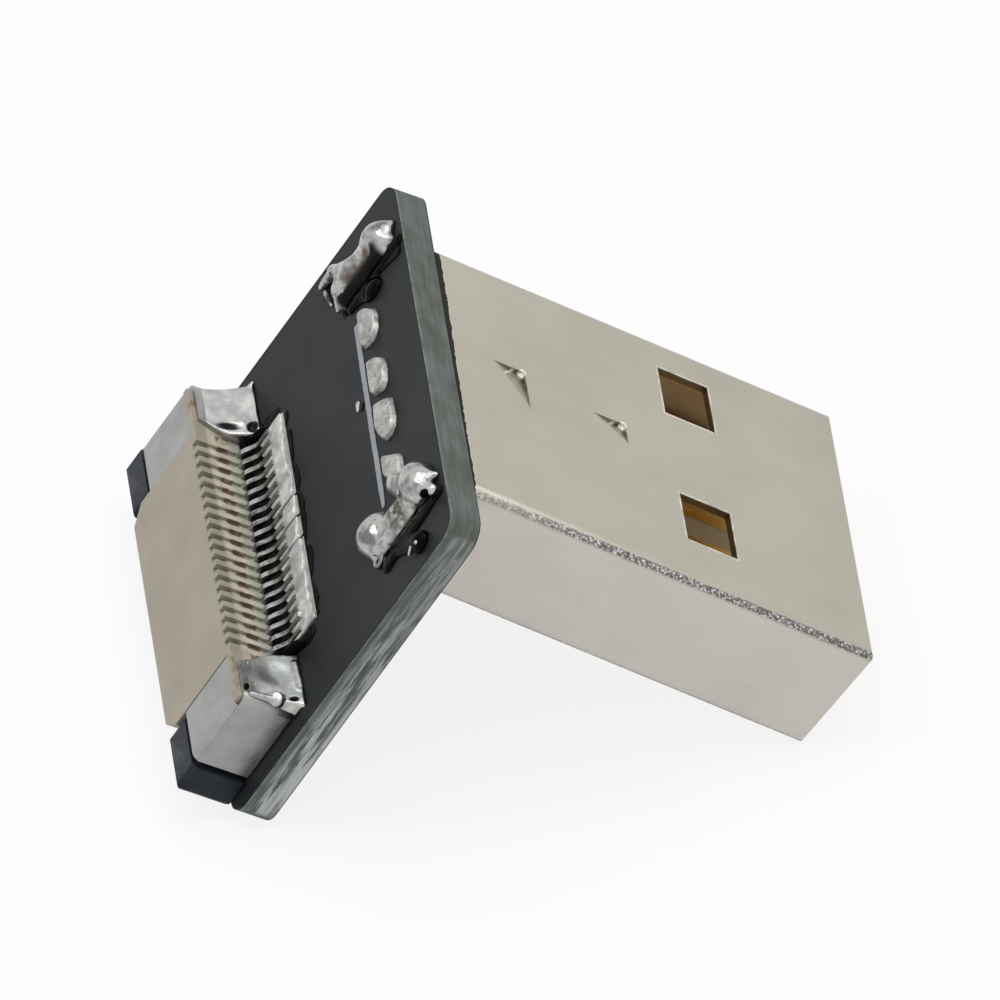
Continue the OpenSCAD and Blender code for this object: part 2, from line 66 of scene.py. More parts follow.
# ---- sizes, in millimetres, as in the CAD source ----
MM = 0.001
BOARD_T = 1.2          # thickness of the board
BOARD_W = 16.8         # the board from side to side
PLUG_ROW = 2.5         # middle of the plug, down the board
PLUG_LEAN = math.radians(4)
SHELL_SIDE, SHELL_FACE = 12.0 / 2, 4.5 / 2   # from the plug's middle to its outside
WINDOW_X, WINDOW_Y = 9.8, (3.4, -2.7)        # middles of the latch windows
WINDOW_HALF_L, WINDOW_HALF_W = 1.0, 1.1
LEG_SIDE = 5.85        # middle of a shell leg, across the board
BACK_ROW = 10.2        # back of the ribbon socket, down the board
SOCKET_H = 2.1
HOLD_T = 0.15          # sheet of a hold-down
HOLD_BACK, HOLD_TOP = BACK_ROW - HOLD_T, SOCKET_H - HOLD_T
CORE_HALF = 5.35       # inner edge of a hold-down, across the board
HOLD_SIDE = 7.6        # outside of a hold-down
PITCH = 0.5            # from contact to contact
CONTACTS = 20

# ---- places of what only this file shows, in millimetres ----
MARKS = ((3.0, 1.3, 1.1), (6.95, 0.75, 0.8))   # each mark's middle, and its streak's reach
COMB_FLUX_H = 1.10     # brown flux in the socket's comb, above the board
DARK_PAD_ROW = 9.25        # where the pads turn dark, down the board: flux, and painted shade below the tails
HOLE, PIT = (-6.34, 0.72), (-6.14, 4.08)       # the two holes in the second leg joint
SUNK = 0.01            # how far a free form reaches below the board's face
COARSE, FINE = 0.045, 0.025                    # grid steps of the free forms
KEY_MIRROR = (-0.40, -0.60, 0.69)   # the way a face looks that mirrors the key light


# ---- the board's and the plug's own frames ----
# the lock slides straight down the board, which gives the board's tilt
slide = Vector(frame["joints"][0]["axis"])
tilt = math.atan2(-slide.x, -slide.z)
board_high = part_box("circuit_board")[1]
corner = Vector((board_high.x - BOARD_T * MM * math.cos(tilt), 0, board_high.z))
turned = Matrix.Translation(corner) @ Matrix.Rotation(tilt, 4, "Y")
in_mm = Matrix.Scale(MM, 4)

# across the board, down it from the plug's edge, and out from its front face
front = turned @ Matrix(((0, 0, -1, 0), (1, 0, 0, 0), (0, -1, 0, 0), (0, 0, 0, 1))) @ in_mm
# along the plug, across it, and out from its window face
plug = (turned @ Matrix.Translation((BOARD_T * MM, 0, -PLUG_ROW * MM))
        @ Matrix.Rotation(PLUG_LEAN, 4, "Y") @ in_mm)


# ---- materials ----
def add(tree, kind, inputs=None, **settings):
    """A new node with its settings, each input linked to a socket or set to a value."""
    node = tree.nodes.new("ShaderNode" + kind)
    for key, value in settings.items():
        setattr(node, key, value)
    for key, value in (inputs or {}).items():
        if isinstance(value, bpy.types.NodeSocket):
            tree.links.new(value, node.inputs[key])
        else:
            node.inputs[key].default_value = value
    return node


class Finish:
    """A procedural material whose patterns are placed in millimetres in one of the frames."""

    def __init__(self, name, space, metallic=0.0, ior=1.5):
        self.material = bpy.data.materials.new(name)
        self.material.use_nodes = True
        self.tree = self.material.node_tree
        self.shader = self.tree.nodes["Principled BSDF"]
        self.shader.inputs["Metallic"].default_value = metallic
        self.shader.inputs["IOR"].default_value = ior
        place, turn, size = space.inverted().decompose()
        self.at = self.add("Mapping", {
            "Vector": self.add("TexCoord").outputs["Object"],
            "Location": place, "Rotation": turn.to_euler(), "Scale": size}).outputs[0]
        parts = self.add("SeparateXYZ", {0: self.at})
        self.x, self.y, self.z = parts.outputs

    def add(self, kind, inputs=None, **settings):
        return add(self.tree, kind, inputs, **settings)

    def maths(self, operation, *values):
        return self.add("Math", dict(enumerate(values)), operation=operation).outputs[0]

    def plus(self, a, b):
        return self.maths("ADD", a, b)

    def minus(self, a, b):
        return self.maths("SUBTRACT", a, b)

    def off(self, value, middle=0.0):
        """How far the value is from the middle, on either side."""
        return self.maths("ABSOLUTE", self.minus(value, middle))

    def both(self, *shares):
        """Where all the shares overlap: their product."""
        total = shares[0]
        for share in shares[1:]:
            total = self.maths("MULTIPLY", total, share)
        return total

    def noise(self, size, detail=3, stretch=(1, 1, 1), shift=0.0, rough=0.55):
        """Noise from about 0 to 1, with one blob every size millimetres."""
        at = self.add("Mapping", {"Vector": self.at, "Location": (shift, shift, shift),
                                  "Scale": stretch}).outputs[0]
        return self.add("TexNoise", {"Vector": at, "Scale": 1 / size, "Detail": detail,
                                     "Roughness": rough}).outputs[0]

    def grains(self, size):
        """Distance to the nearest of the points scattered every size millimetres."""
        return self.add("TexVoronoi", {"Vector": self.at, "Scale": 1 / size}).outputs["Distance"]

    def band(self, value, start, end, low=0.0, high=1.0):
        """low before start, high after end, and smooth in between."""
        return self.add("MapRange", {0: value, 1: start, 2: end, 3: low, 4: high},
                        interpolation_type="SMOOTHSTEP").outputs[0]

    def ramp(self, value, *stops):
        """Colours along the value; each stop is a place from 0 to 1 and its colour."""
        node = self.add("ValToRGB", {0: value})
        elements = node.color_ramp.elements
        while len(elements) < len(stops):
            elements.new(1.0)
        for element, (place, colour) in zip(elements, stops):
            element.position = place
            element.color = (*colour, 1)
        return node.outputs[0]

    def mix(self, share, below, above):
        """above over below, where share is 1."""
        if not isinstance(below, bpy.types.NodeSocket):
            below = (*below, 1)
        if not isinstance(above, bpy.types.NodeSocket):
            above = (*above, 1)
        return self.add("Mix", {0: share, 6: below, 7: above}, data_type="RGBA").outputs[2]

    def near(self, x, y, reach_x, reach_y=None, across=None, down=None):
        """Squared distance from a place, 1 at the reach on each of two axes."""
        across = self.x if across is None else across
        down = self.y if down is None else down
        a = self.both(self.minus(across, x), 1 / reach_x)
        b = self.both(self.minus(down, y), 1 / (reach_y or reach_x))
        return self.plus(self.both(a, a), self.both(b, b))

    def bump(self, *layers):
        """Each layer is a height and its depth in millimetres."""
        normal = None
        for height, depth in layers:
            inputs = {"Height": height, "Strength": 1.0, "Distance": depth * MM}
            if normal is not None:
                inputs["Normal"] = normal
            normal = self.add("Bump", inputs).outputs[0]
        self.tree.links.new(normal, self.shader.inputs["Normal"])

    def set(self, **values):
        """Gives the shader's inputs a number, a colour or a pattern each; returns the material."""
        names = {"colour": "Base Color", "rough": "Roughness", "metal": "Metallic",
                 "gloss": "Specular IOR Level"}
        for key, value in values.items():
            socket = self.shader.inputs[names[key]]
            if isinstance(value, bpy.types.NodeSocket):
                self.tree.links.new(value, socket)
            else:
                socket.default_value = (*value, 1) if isinstance(value, tuple) else value
        return self.material


def crazed_folds(f, plate, craze):
    """Cracked plate along the folds, stronger towards the mouth, and where it is."""
    ragged = f.both(f.noise(0.12, 2, shift=11.0), 0.10)
    fold = f.both(f.band(f.plus(f.off(f.y), ragged), SHELL_SIDE - 0.27, SHELL_SIDE - 0.21),
                  f.band(f.plus(f.off(f.z), ragged), SHELL_FACE - 0.19, SHELL_FACE - 0.13),
                  f.band(f.x, 0.5, 5.0, 0.5, 1.0))
    cracked = f.ramp(craze, (0.38, (0.08, 0.08, 0.075)), (0.52, (0.24, 0.23, 0.225)),
                     (0.64, (0.78, 0.76, 0.74)))
    return f.mix(fold, plate, cracked), fold


def pressed_marks(f, colour):
    """Painted shade, olive, in their depth, and painted highlights where the punch bit: a glint
    across each and a lit rim by its middle.
    """
    sunk = f.both(f.band(f.z, SHELL_FACE - 0.006, SHELL_FACE - 0.030),
                  f.band(f.z, SHELL_FACE - 0.26, SHELL_FACE - 0.24),
                  f.band(f.off(f.y), 3.0, 2.9), f.band(f.x, 8.0, 7.9))
    depth = f.band(f.z, SHELL_FACE - 0.03, SHELL_FACE - 0.16)
    # painted shade, olive, in the marks' depth
    stain_and_shade = f.mix(depth, (0.315, 0.290, 0.225), (0.125, 0.108, 0.075))
    blot = f.band(f.noise(0.30, 3, shift=2.0), 0.38, 0.55, 0.65, 1.0)
    for x, y, reach in MARKS:
        along = f.minus(f.minus(f.x, x), f.minus(f.y, y))
        # a painted glint across each mark
        glint_streak = f.both(sunk, f.band(f.off(along, -0.42), 0.09, 0.03),
                        f.band(f.near(x, y, reach), 1.0, 0.7), 0.8)
        # a painted highlight round the mark's middle
        lit_lip = f.band(f.near(x - 0.06, y - 0.02, 0.15), 1.0, 0.4)
        colour = f.mix(f.both(sunk, blot, f.band(f.near(x, y, 2.4), 1.0, 0.9)), colour, stain_and_shade)
        colour = f.mix(glint_streak, colour, (0.80, 0.76, 0.69))
        colour = f.mix(lit_lip, colour, (0.95, 0.93, 0.88))
    return colour


def window_edges(f, colour):
    """Painted highlights along the rims round the windows, and brown cut edges in them."""
    for y in WINDOW_Y:
        out = f.maths("MAXIMUM", f.minus(f.off(f.x, WINDOW_X), WINDOW_HALF_L),
                      f.minus(f.off(f.y, y), WINDOW_HALF_W))
        # painted highlight along each window's rim
        rim = f.both(f.band(out, 0.09, 0.05), f.band(f.noise(0.5, 2, shift=y), 0.35, 0.6), 0.7)
        edge = f.both(f.band(out, 0.02, 0.004),
                      f.band(f.z, SHELL_FACE - 0.02, SHELL_FACE - 0.06))
        colour = f.mix(rim, colour, (0.80, 0.77, 0.70))
        colour = f.mix(edge, colour, (0.30, 0.235, 0.13))
    return colour


def cut_end(f, colour):
    """A burr, and painted shade for the dark ragged gap where the shell meets the board."""
    jag = f.both(f.noise(0.22, 4, stretch=(0.4, 1, 1), shift=13.0), 0.16)
    end = f.minus(f.minus(f.x, f.band(f.y, -4.0, 6.0, -0.02, 0.14)), jag)
    colour = f.mix(f.both(f.band(end, 0.10, 0.05), 0.5), colour, (0.66, 0.63, 0.57))
    # painted shade: near black along the ragged gap at the shell's cut end
    return f.mix(f.band(end, 0.06, 0.03), colour, (0.024, 0.021, 0.014))


def nickel():
    """Satin nickel plate on folded sheet; painted light makes its narrow sides lighter and pinker,
    and its inside is painted tan as warm bounced light.
    """
    f = Finish("nickel_plate", plug, metallic=1.0)
    fine = f.noise(0.10, 2, shift=3.0)
    craze = f.noise(0.085, 3, shift=5.0, rough=0.7)
    sheen = f.noise(0.9, 4, stretch=(0.35, 1, 1), shift=7.0)
    cloud = f.plus(f.both(f.noise(4.0, 2), 0.7), f.both(sheen, 0.3))
    wide = f.ramp(cloud, (0.35, (0.435, 0.404, 0.345)), (0.65, (0.482, 0.452, 0.388)))
    # painted light: the narrow sides get a lighter, pinker copy of the plate
    narrow = f.ramp(cloud, (0.35, (0.530, 0.492, 0.456)), (0.65, (0.580, 0.538, 0.500)))
    plate = f.mix(f.band(f.off(f.y), SHELL_SIDE - 0.10, SHELL_SIDE - 0.02), wide, narrow)
    plate, fold = crazed_folds(f, plate, craze)
    plate = cut_end(f, window_edges(f, pressed_marks(f, plate)))
    # painted light: the inside is tan and less metallic, standing in for warm bounced light
    inside = f.both(f.band(f.off(f.y), SHELL_SIDE - 0.26, SHELL_SIDE - 0.30),
                    f.band(f.off(f.z), SHELL_FACE - 0.26, SHELL_FACE - 0.30))
    tan = f.ramp(cloud, (0.35, (0.66, 0.50, 0.29)), (0.65, (0.80, 0.64, 0.42)))
    f.bump((fine, 0.0025), (f.both(craze, fold), 0.035))
    f.set(metal=f.band(inside, 0, 1, 1.0, 0.45))
    return f.set(colour=f.mix(inside, plate, tan), rough=f.band(fine, 0.3, 0.7, 0.33, 0.44))


def gold():
    """Thin gold plate on a stamped contact."""
    f = Finish("gold_plate", plug, metallic=1.0)
    wear = f.noise(0.5, 4, stretch=(0.2, 1, 1))
    f.bump((f.noise(0.08, 3, stretch=(0.1, 1, 1)), 0.002))
    return f.set(colour=f.ramp(wear, (0.35, (0.62, 0.42, 0.15)), (0.65, (0.83, 0.62, 0.28))),
                 rough=f.band(wear, 0.3, 0.7, 0.22, 0.34))


def tongue_plastic():
    """Moulded white plastic that the contacts lie in."""
    f = Finish("tongue_plastic", plug)
    cloud = f.noise(1.5, 3)
    f.bump((f.noise(0.06, 3), 0.003))
    return f.set(colour=f.ramp(cloud, (0.3, (0.66, 0.61, 0.47)), (0.7, (0.76, 0.71, 0.57))),
                 rough=f.band(cloud, 0.3, 0.7, 0.45, 0.58))


def board():
    """Black solder mask on both faces, and sawn glass laminate between them."""
    f = Finish("board", front)
    skin = f.maths("MAXIMUM", f.band(f.z, -0.040, -0.030),
                   f.band(f.z, -BOARD_T + 0.040, -BOARD_T + 0.030))
    cloud = f.noise(2.5, 3)
    dust = f.both(f.band(f.grains(0.45), 0.05, 0.03),
                  f.band(f.noise(1.1, 1, shift=4.0), 0.56, 0.60))
    mask = f.ramp(cloud, (0.3, (0.0165, 0.0190, 0.0215)), (0.7, (0.0230, 0.0260, 0.0290)))
    mask = f.mix(dust, mask, (0.0040, 0.0040, 0.0045))
    # sawn edge: layers of cloth along it, lighter and darker patches
    layers = f.noise(0.45, 4, stretch=(0.22, 0.22, 2.0))
    patch = f.noise(1.0, 3, shift=9.0)
    glass = f.ramp(f.plus(f.both(layers, 0.55), f.both(patch, 0.45)),
                   (0.38, (0.098, 0.112, 0.092)), (0.50, (0.128, 0.144, 0.130)),
                   (0.62, (0.168, 0.186, 0.178)))
    pale = f.both(f.band(f.z, -0.16, -0.04), f.band(f.noise(0.6, 3, shift=6.0), 0.35, 0.55))
    glass = f.mix(f.both(pale, 0.5), glass, (0.30, 0.32, 0.29))
    # torn white fibres on the two side edges, with dark ones between them
    side = f.band(f.off(f.x), BOARD_W / 2 - 0.12, BOARD_W / 2 - 0.02)
    fibre = f.noise(0.26, 5, stretch=(1, 0.12, 1.6), shift=2.0, rough=0.66)
    thread = f.noise(0.30, 4, stretch=(1, 0.14, 1.8), shift=15.0)
    rim = f.both(f.band(f.z, -BOARD_T * 0.78, -BOARD_T * 0.90),
                 f.band(f.noise(0.5, 3, stretch=(1, 0.3, 1), shift=12.0), 0.36, 0.50))
    torn = f.both(f.band(fibre, 0.41, 0.57), f.band(f.z, -BOARD_T * 0.10, -BOARD_T * 0.45))
    strands = f.both(side, f.maths("MAXIMUM", torn, rim), f.band(f.y, 2.0, 12.0, 0.45, 1.0))
    glass = f.mix(strands, glass, (0.50, 0.52, 0.52))
    glass = f.mix(f.both(side, f.band(thread, 0.52, 0.66), 0.6), glass, (0.075, 0.085, 0.080))
    f.bump((f.noise(0.07, 3), 0.005), (f.both(fibre, side), 0.03))
    f.set(gloss=0.06)
    return f.set(colour=f.mix(skin, glass, mask), rough=f.band(skin, 0, 1, 0.62, 0.38))


def solder(name, pale, rough, wave=0.012, reflection_low=0.45, reflection_blotch=0.6, stains_and_shade=()):
    """Frozen solder: how pale it is, its ripples' depth, and how bright its darkest patches stay.

    Each mark is a place, a colour and how metallic it still is; some are flux and specks, others
    painted shade.
    """
    f = Finish(name, front, metallic=1.0)
    broad = f.noise(0.60, 2)
    ripple = f.noise(0.35, 3, shift=6.0)
    frost = f.noise(0.06, 3, shift=1.0)
    # uneven tone, darker and paler by turns, that also paints the dark reflections of a darker
    # room
    metal = f.ramp(broad, (0.36, (pale * reflection_low, pale * reflection_low, pale * reflection_low * 1.02)),
                   (0.50, (pale, pale, pale * 0.98)),
                   (0.66, (pale * 1.25, pale * 1.24, pale * 1.18)))
    # grey blotches: uneven tone and painted dark reflections
    grey = f.both(f.band(f.noise(0.30, 4, shift=8.0), 0.54, 0.68), reflection_blotch)
    colour = f.mix(grey, metal, (pale * 0.30, pale * 0.27, pale * 0.24))
    plating = 1.0
    for place, stain_and_shade, bare in stains_and_shade:
        share = place(f)
        colour = f.mix(share, colour, stain_and_shade)
        plating = f.band(share, 0, 1, plating, bare)
    f.bump((ripple, wave), (frost, 0.002))
    f.set(metal=plating, gloss=0.08)
    return f.set(colour=colour, rough=f.band(frost, 0.3, 0.7, rough, rough + 0.08))


def burnt_side(f):
    """Brown flux on the inner side of the first leg joint."""
    ragged = f.both(f.noise(0.4, 3, shift=21.0), 0.5)
    return f.both(f.band(f.plus(f.x, ragged), 6.48, 6.22), f.band(f.x, 3.0, 3.1),
                  f.band(f.y, 1.05, 1.55), f.band(f.y, 3.15, 2.75), 0.9)


def black_side(f):
    """Black low on the inner side of the first leg joint: flux, and painted shade of the open slot
    beside it.
    """
    ragged = f.both(f.noise(0.35, 4, shift=25.0), 0.6)
    return f.both(f.band(f.plus(f.x, ragged), 6.30, 6.16), f.band(f.x, 3.0, 3.1),
                  f.band(f.y, 0.75, 1.1), f.band(f.y, 3.75, 3.45))


def burnt_hollow(f):
    """Brown flux in the mouth of the first joint's second hump."""
    return f.both(f.band(f.near(6.90, 4.05, 0.40, 0.55), 1.1, 0.55), f.band(f.z, 0.45, 0.30), 0.95)


def specks(f):
    """Small dark specks all over."""
    return f.both(f.band(f.noise(0.14, 2, shift=30.0), 0.64, 0.76), 0.6)


def waist_olive(f):
    """Olive darkening in the second joint's waist."""
    return f.both(f.band(f.near(-5.60, 2.25, 0.80, 0.60), 1.0, 0.2),
                  f.band(f.noise(0.30, 3, shift=31.0), 0.34, 0.54), 0.9)


def far_side(f):
    """Black on the outer side of the second leg joint: flux, and painted shade of the open slot
    beside it.
    """
    ragged = f.both(f.noise(0.3, 3, shift=35.0), 0.3)
    return f.both(f.band(f.plus(f.x, ragged), -6.00, -6.14), f.band(f.y, 1.3, 1.7),
                  f.band(f.y, 3.85, 3.6))


def fillet_hollow(f):
    """Painted shade in the hollow of the first hold-down's fillet, and below it."""
    return f.maths("MAXIMUM",
                   f.band(f.near(5.68, 0.98, 0.20, 0.42, f.x, f.z), 1.3, 0.35),
                   f.band(f.near(5.72, 0.20, 0.24, 0.17, f.x, f.z), 1.2, 0.5))


def fillet_low(f):
    """The second hold-down's fillet is duller and greener."""
    return f.both(f.band(f.x, 1, -1), f.band(f.noise(0.7, 3, shift=3.0), 0.66, 0.40),
                  f.band(f.near(-7.45, 0.90, 0.30, 0.30, f.x, f.z), 0.6, 1.3), 0.85)


def fillet_corner(f):
    """Painted shade in the hole in the second hold-down's fillet, by its outer edge."""
    return f.band(f.near(-7.43, 0.28, 0.13, 0.13, f.x, f.z), 1.2, 0.6)


def pin_metal():
    """Dull pale solder of the pin joints, trimmed flat, with small pits."""
    f = Finish("pin_metal", front, metallic=1.0)
    cloud = f.noise(0.40, 4)
    pits = f.band(f.noise(0.20, 3, shift=5.0), 0.60, 0.70)
    vein = f.off(f.noise(0.55, 3, shift=14.0), 0.5)
    pale = f.ramp(cloud, (0.36, (0.32, 0.32, 0.305)), (0.64, (0.56, 0.56, 0.53)))
    pale = f.mix(f.both(f.band(vein, 0.022, 0.006), 0.4), pale, (0.12, 0.115, 0.10))
    f.bump((cloud, 0.012), (pits, -0.015), (f.noise(0.07, 3, shift=2.0), 0.004))
    return f.set(colour=f.mix(f.both(pits, 0.65), pale, (0.15, 0.14, 0.125)),
                 rough=f.band(cloud, 0.3, 0.7, 0.42, 0.55))


def tinned():
    """Tinned copper, painted dark behind the solder strip: flux, and painted shade below the tails
    and the hold-downs.
    """
    f = Finish("pad_metal", front, metallic=1.0)
    cloud = f.noise(0.9, 4)
    f.bump((cloud, 0.010))
    # painted shade with flux: past this row the pads turn black and lose their metal
    dark = f.band(f.y, DARK_PAD_ROW, DARK_PAD_ROW + 0.10)
    metal = f.ramp(cloud, (0.35, (0.36, 0.36, 0.34)), (0.65, (0.52, 0.52, 0.50)))
    f.set(metal=f.band(dark, 0, 1, 1.0, 0.0), gloss=0.1)
    return f.set(colour=f.mix(dark, metal, (0.004, 0.004, 0.004)),
                 rough=f.band(cloud, 0.3, 0.7, 0.34, 0.48))


def blade_metal():
    """Stamped contacts: dark tails outside the housing, pale plating in its channels."""
    f = Finish("blade_metal", front, metallic=1.0)
    smear = f.noise(0.22, 3, stretch=(1, 0.4, 1), shift=3.0)
    tail = f.ramp(smear, (0.35, (0.125, 0.125, 0.118)), (0.65, (0.30, 0.30, 0.285)))
    worn = f.both(f.band(f.z, 0.30, 0.44), f.band(smear, 0.40, 0.55))
    tail = f.mix(worn, tail, (0.42, 0.42, 0.40))
    # in the channels: cream, greyer low down, shaded at the top, brown flux at mid height
    pale = f.ramp(f.noise(0.3, 3, shift=9.0), (0.35, (0.50, 0.475, 0.395)),
                  (0.65, (0.70, 0.675, 0.58)))
    grey = f.ramp(smear, (0.35, (0.30, 0.31, 0.275)), (0.65, (0.46, 0.475, 0.43)))
    pale = f.mix(f.band(f.z, 0.92, 0.72), pale, grey)
    pale = f.mix(f.band(f.z, 1.52, 1.66), pale, (0.215, 0.200, 0.165))
    brown = f.both(f.band(f.near(COMB_FLUX_H, 0, 0.24, 1.0, f.z, 0.0), 1.3, 0.5),
                   f.band(f.noise(0.35, 2, shift=17.0), 0.32, 0.46), 0.9)
    pale = f.mix(brown, pale, (0.150, 0.085, 0.055))
    inside = f.band(f.y, BACK_ROW - 0.12, BACK_ROW + 0.04)
    f.set(metal=f.band(inside, 0, 1, 1.0, 0.25))
    return f.set(colour=f.mix(inside, tail, pale), rough=f.band(smear, 0.3, 0.7, 0.26, 0.40))


def hold_metal():
    """Smudged tin plate of the hold-downs."""
    f = Finish("hold_metal", front, metallic=1.0)
    cloud = f.noise(0.9, 4)
    smear = f.noise(0.25, 3, stretch=(1, 0.3, 1), shift=3.0)
    tone = f.plus(f.both(cloud, 0.6), f.both(smear, 0.4))
    f.bump((cloud, 0.012), (f.noise(0.05, 3, shift=1.0), 0.003))
    return f.set(colour=f.ramp(tone, (0.35, (0.31, 0.31, 0.30)), (0.65, (0.41, 0.41, 0.40))),
                 rough=f.band(smear, 0.3, 0.7, 0.36, 0.51))


def flux_in_comb(f, back):
    """Brown flux at mid height, on the walls between the contacts."""
    comb = f.maths("ABSOLUTE", f.maths("SINE", f.both(f.x, math.pi / PITCH)))
    walls = f.both(f.band(comb, 0.50, 0.72), f.band(f.noise(0.35, 3, shift=9.0), 0.36, 0.48))
    middle = f.band(f.near(COMB_FLUX_H, 0, 0.26, 1.0, f.z, 0.0), 1.4, 0.4)
    return f.both(back, middle, walls, 0.85)


def socket_plastic():
    """Tan moulded socket, with flux in its rear comb, painted shade below the tails, and a line of
    painted shade along one hold-down's flap.
    """
    f = Finish("socket_plastic", front)
    speck = f.band(f.grains(0.16), 0.10, 0.04)
    base = f.ramp(f.noise(1.8, 3), (0.3, (0.365, 0.330, 0.268)), (0.7, (0.410, 0.374, 0.305)))
    base = f.mix(f.both(speck, 0.25), base, (0.31, 0.28, 0.225))
    # rear comb: cream ribs, greyer low down, and painted shade, black, below the tails
    back = f.band(f.y, BACK_ROW + 0.45, BACK_ROW + 0.02)
    cream = f.ramp(f.noise(0.4, 3, shift=4.0), (0.35, (0.50, 0.455, 0.35)),
                   (0.65, (0.66, 0.62, 0.50)))
    brown = flux_in_comb(f, back)
    colour = f.mix(f.both(back, f.band(f.z, 1.75, 1.55)), base, cream)
    colour = f.mix(f.both(back, f.band(f.z, 0.95, 0.70), 0.6), colour, (0.40, 0.41, 0.355))
    colour = f.mix(brown, colour, (0.165, 0.095, 0.058))
    corner = f.both(back, f.band(f.off(f.x), 5.0, 5.3),
                    f.band(f.noise(0.5, 4, shift=6.0), 0.50, 0.66), 0.7)
    colour = f.mix(corner, colour, (0.20, 0.14, 0.06))
    shade_below_tails = f.both(f.band(f.z, 0.46, 0.38), f.band(f.y, BACK_ROW + 0.30, BACK_ROW + 0.20))
    colour = f.mix(shade_below_tails, colour, (0.003, 0.003, 0.003))
    # shade along the second hold-down's flap
    gap = f.both(f.band(f.off(f.x, 0.045 - CORE_HALF), 0.06, 0.035),
                 f.band(f.z, SOCKET_H - 0.3, SOCKET_H - 0.1), f.band(f.y, 10.35, 10.6), 0.85)
    colour = f.mix(gap, colour, (0.055, 0.048, 0.030))
    f.bump((f.noise(0.05, 3), 0.003))
    f.set(gloss=0.2)
    return f.set(colour=colour, rough=f.band(brown, 0, 1, 0.50, 0.25))


def slider_plastic():
    """Near-black glass-filled plastic of the slider, with pale scuffs."""
    f = Finish("slider_plastic", front)
    cloud = f.noise(0.6, 4)
    swirl = f.noise(0.25, 4, stretch=(1, 1, 0.3), shift=5.0)
    base = f.ramp(cloud, (0.3, (0.0145, 0.0185, 0.0260)), (0.7, (0.0260, 0.0320, 0.0430)))
    scuff = f.both(f.band(swirl, 0.58, 0.72), 0.5)
    f.bump((swirl, 0.008), (f.noise(0.05, 3), 0.003))
    f.set(gloss=0.12)
    return f.set(colour=f.mix(scuff, base, (0.065, 0.072, 0.085)),
                 rough=f.band(swirl, 0.3, 0.7, 0.34, 0.50))


def black_flux_and_shade():
    """Glossy dark flux, also used as painted shade: in holes, and in dark gaps beside the
    hold-downs and the contacts' solder.
    """
    f = Finish("black_flux_and_shade", front, ior=1.45)
    cloud = f.noise(0.4, 3)
    f.bump((cloud, 0.02))
    f.set(gloss=0.05)
    tint = f.ramp(cloud, (0.3, (0.0006, 0.0007, 0.0008)), (0.7, (0.0018, 0.0018, 0.0021)))
    return f.set(colour=tint, rough=f.band(cloud, 0.3, 0.7, 0.08, 0.18))


def print_ink():
    """Screen-printed ink with a fine grain."""
    f = Finish("print_ink", front)
    grain = f.noise(0.12, 3)
    f.bump((grain, 0.006))
    return f.set(colour=f.ramp(grain, (0.3, (0.26, 0.28, 0.30)), (0.7, (0.36, 0.38, 0.41))),
                 rough=f.band(grain, 0.3, 0.7, 0.5, 0.65))


BROWN, BLACK = (0.110, 0.068, 0.040), (0.006, 0.005, 0.005)
# each list holds flux, specks and painted shade for one solder finish
LEG_1_STAINS_AND_SHADE = ((burnt_side, BROWN, 0.1), (burnt_hollow, (0.075, 0.045, 0.028), 0.1),
                (black_side, BLACK, 0.0))
LEG_2_STAINS_AND_SHADE = ((specks, (0.12, 0.11, 0.09), 0.5), (waist_olive, (0.085, 0.078, 0.050), 0.3),
                (far_side, BLACK, 0.0))
FILLET_STAINS_AND_SHADE = ((fillet_low, (0.29, 0.315, 0.30), 1.0),
                 (fillet_hollow, (0.020, 0.018, 0.022), 0.1),
                 (fillet_corner, (0.03, 0.03, 0.035), 0.1))
finishes = {
    "shell": nickel(), "gold": gold(), "insulator": tongue_plastic(), "mask": board(),
    "solder_1": solder("leg_metal_1", pale=0.42, rough=0.17, stains_and_shade=LEG_1_STAINS_AND_SHADE),
    "solder_2": solder("leg_metal_2", pale=0.42, rough=0.17, stains_and_shade=LEG_2_STAINS_AND_SHADE),
    "solder": solder("bead_metal", pale=0.45, rough=0.18),
    "fillet": solder("fillet_metal", pale=0.47, rough=0.26, wave=0.004, reflection_low=0.84, reflection_blotch=0.2,
                     stains_and_shade=FILLET_STAINS_AND_SHADE),
    "strip": solder("strip_metal", pale=0.60, rough=0.55, wave=0.003, reflection_low=0.72, reflection_blotch=0.3),
    "pin": pin_metal(), "tinned": tinned(), "blade": blade_metal(), "holddown": hold_metal(),
    "socket": socket_plastic(), "slider": slider_plastic(), "flux": black_flux_and_shade(),
    "print": print_ink(),
}


# ---- CAD nodes: better finishes, and fine rounding on their edges ----
SHARP = math.radians(28)   # an edge that turns further than this is rounded
ONE_POINT = 1e-6           # metres; points nearer than this are one


def dress(name, finish, rounding):
    """A finish for a CAD node, and its edges rounded by rounding millimetres."""
    node = nodes[name]
    for slot in node.material_slots:
        slot.material = finishes[finish]
    weld = node.modifiers.new("weld", "WELD")
    weld.merge_threshold = ONE_POINT
    bevel = node.modifiers.new("rounding", "BEVEL")
    bevel.width = rounding * MM
    bevel.segments = 2
    bevel.limit_method = "ANGLE"
    bevel.angle_limit = SHARP
    bevel.harden_normals = True


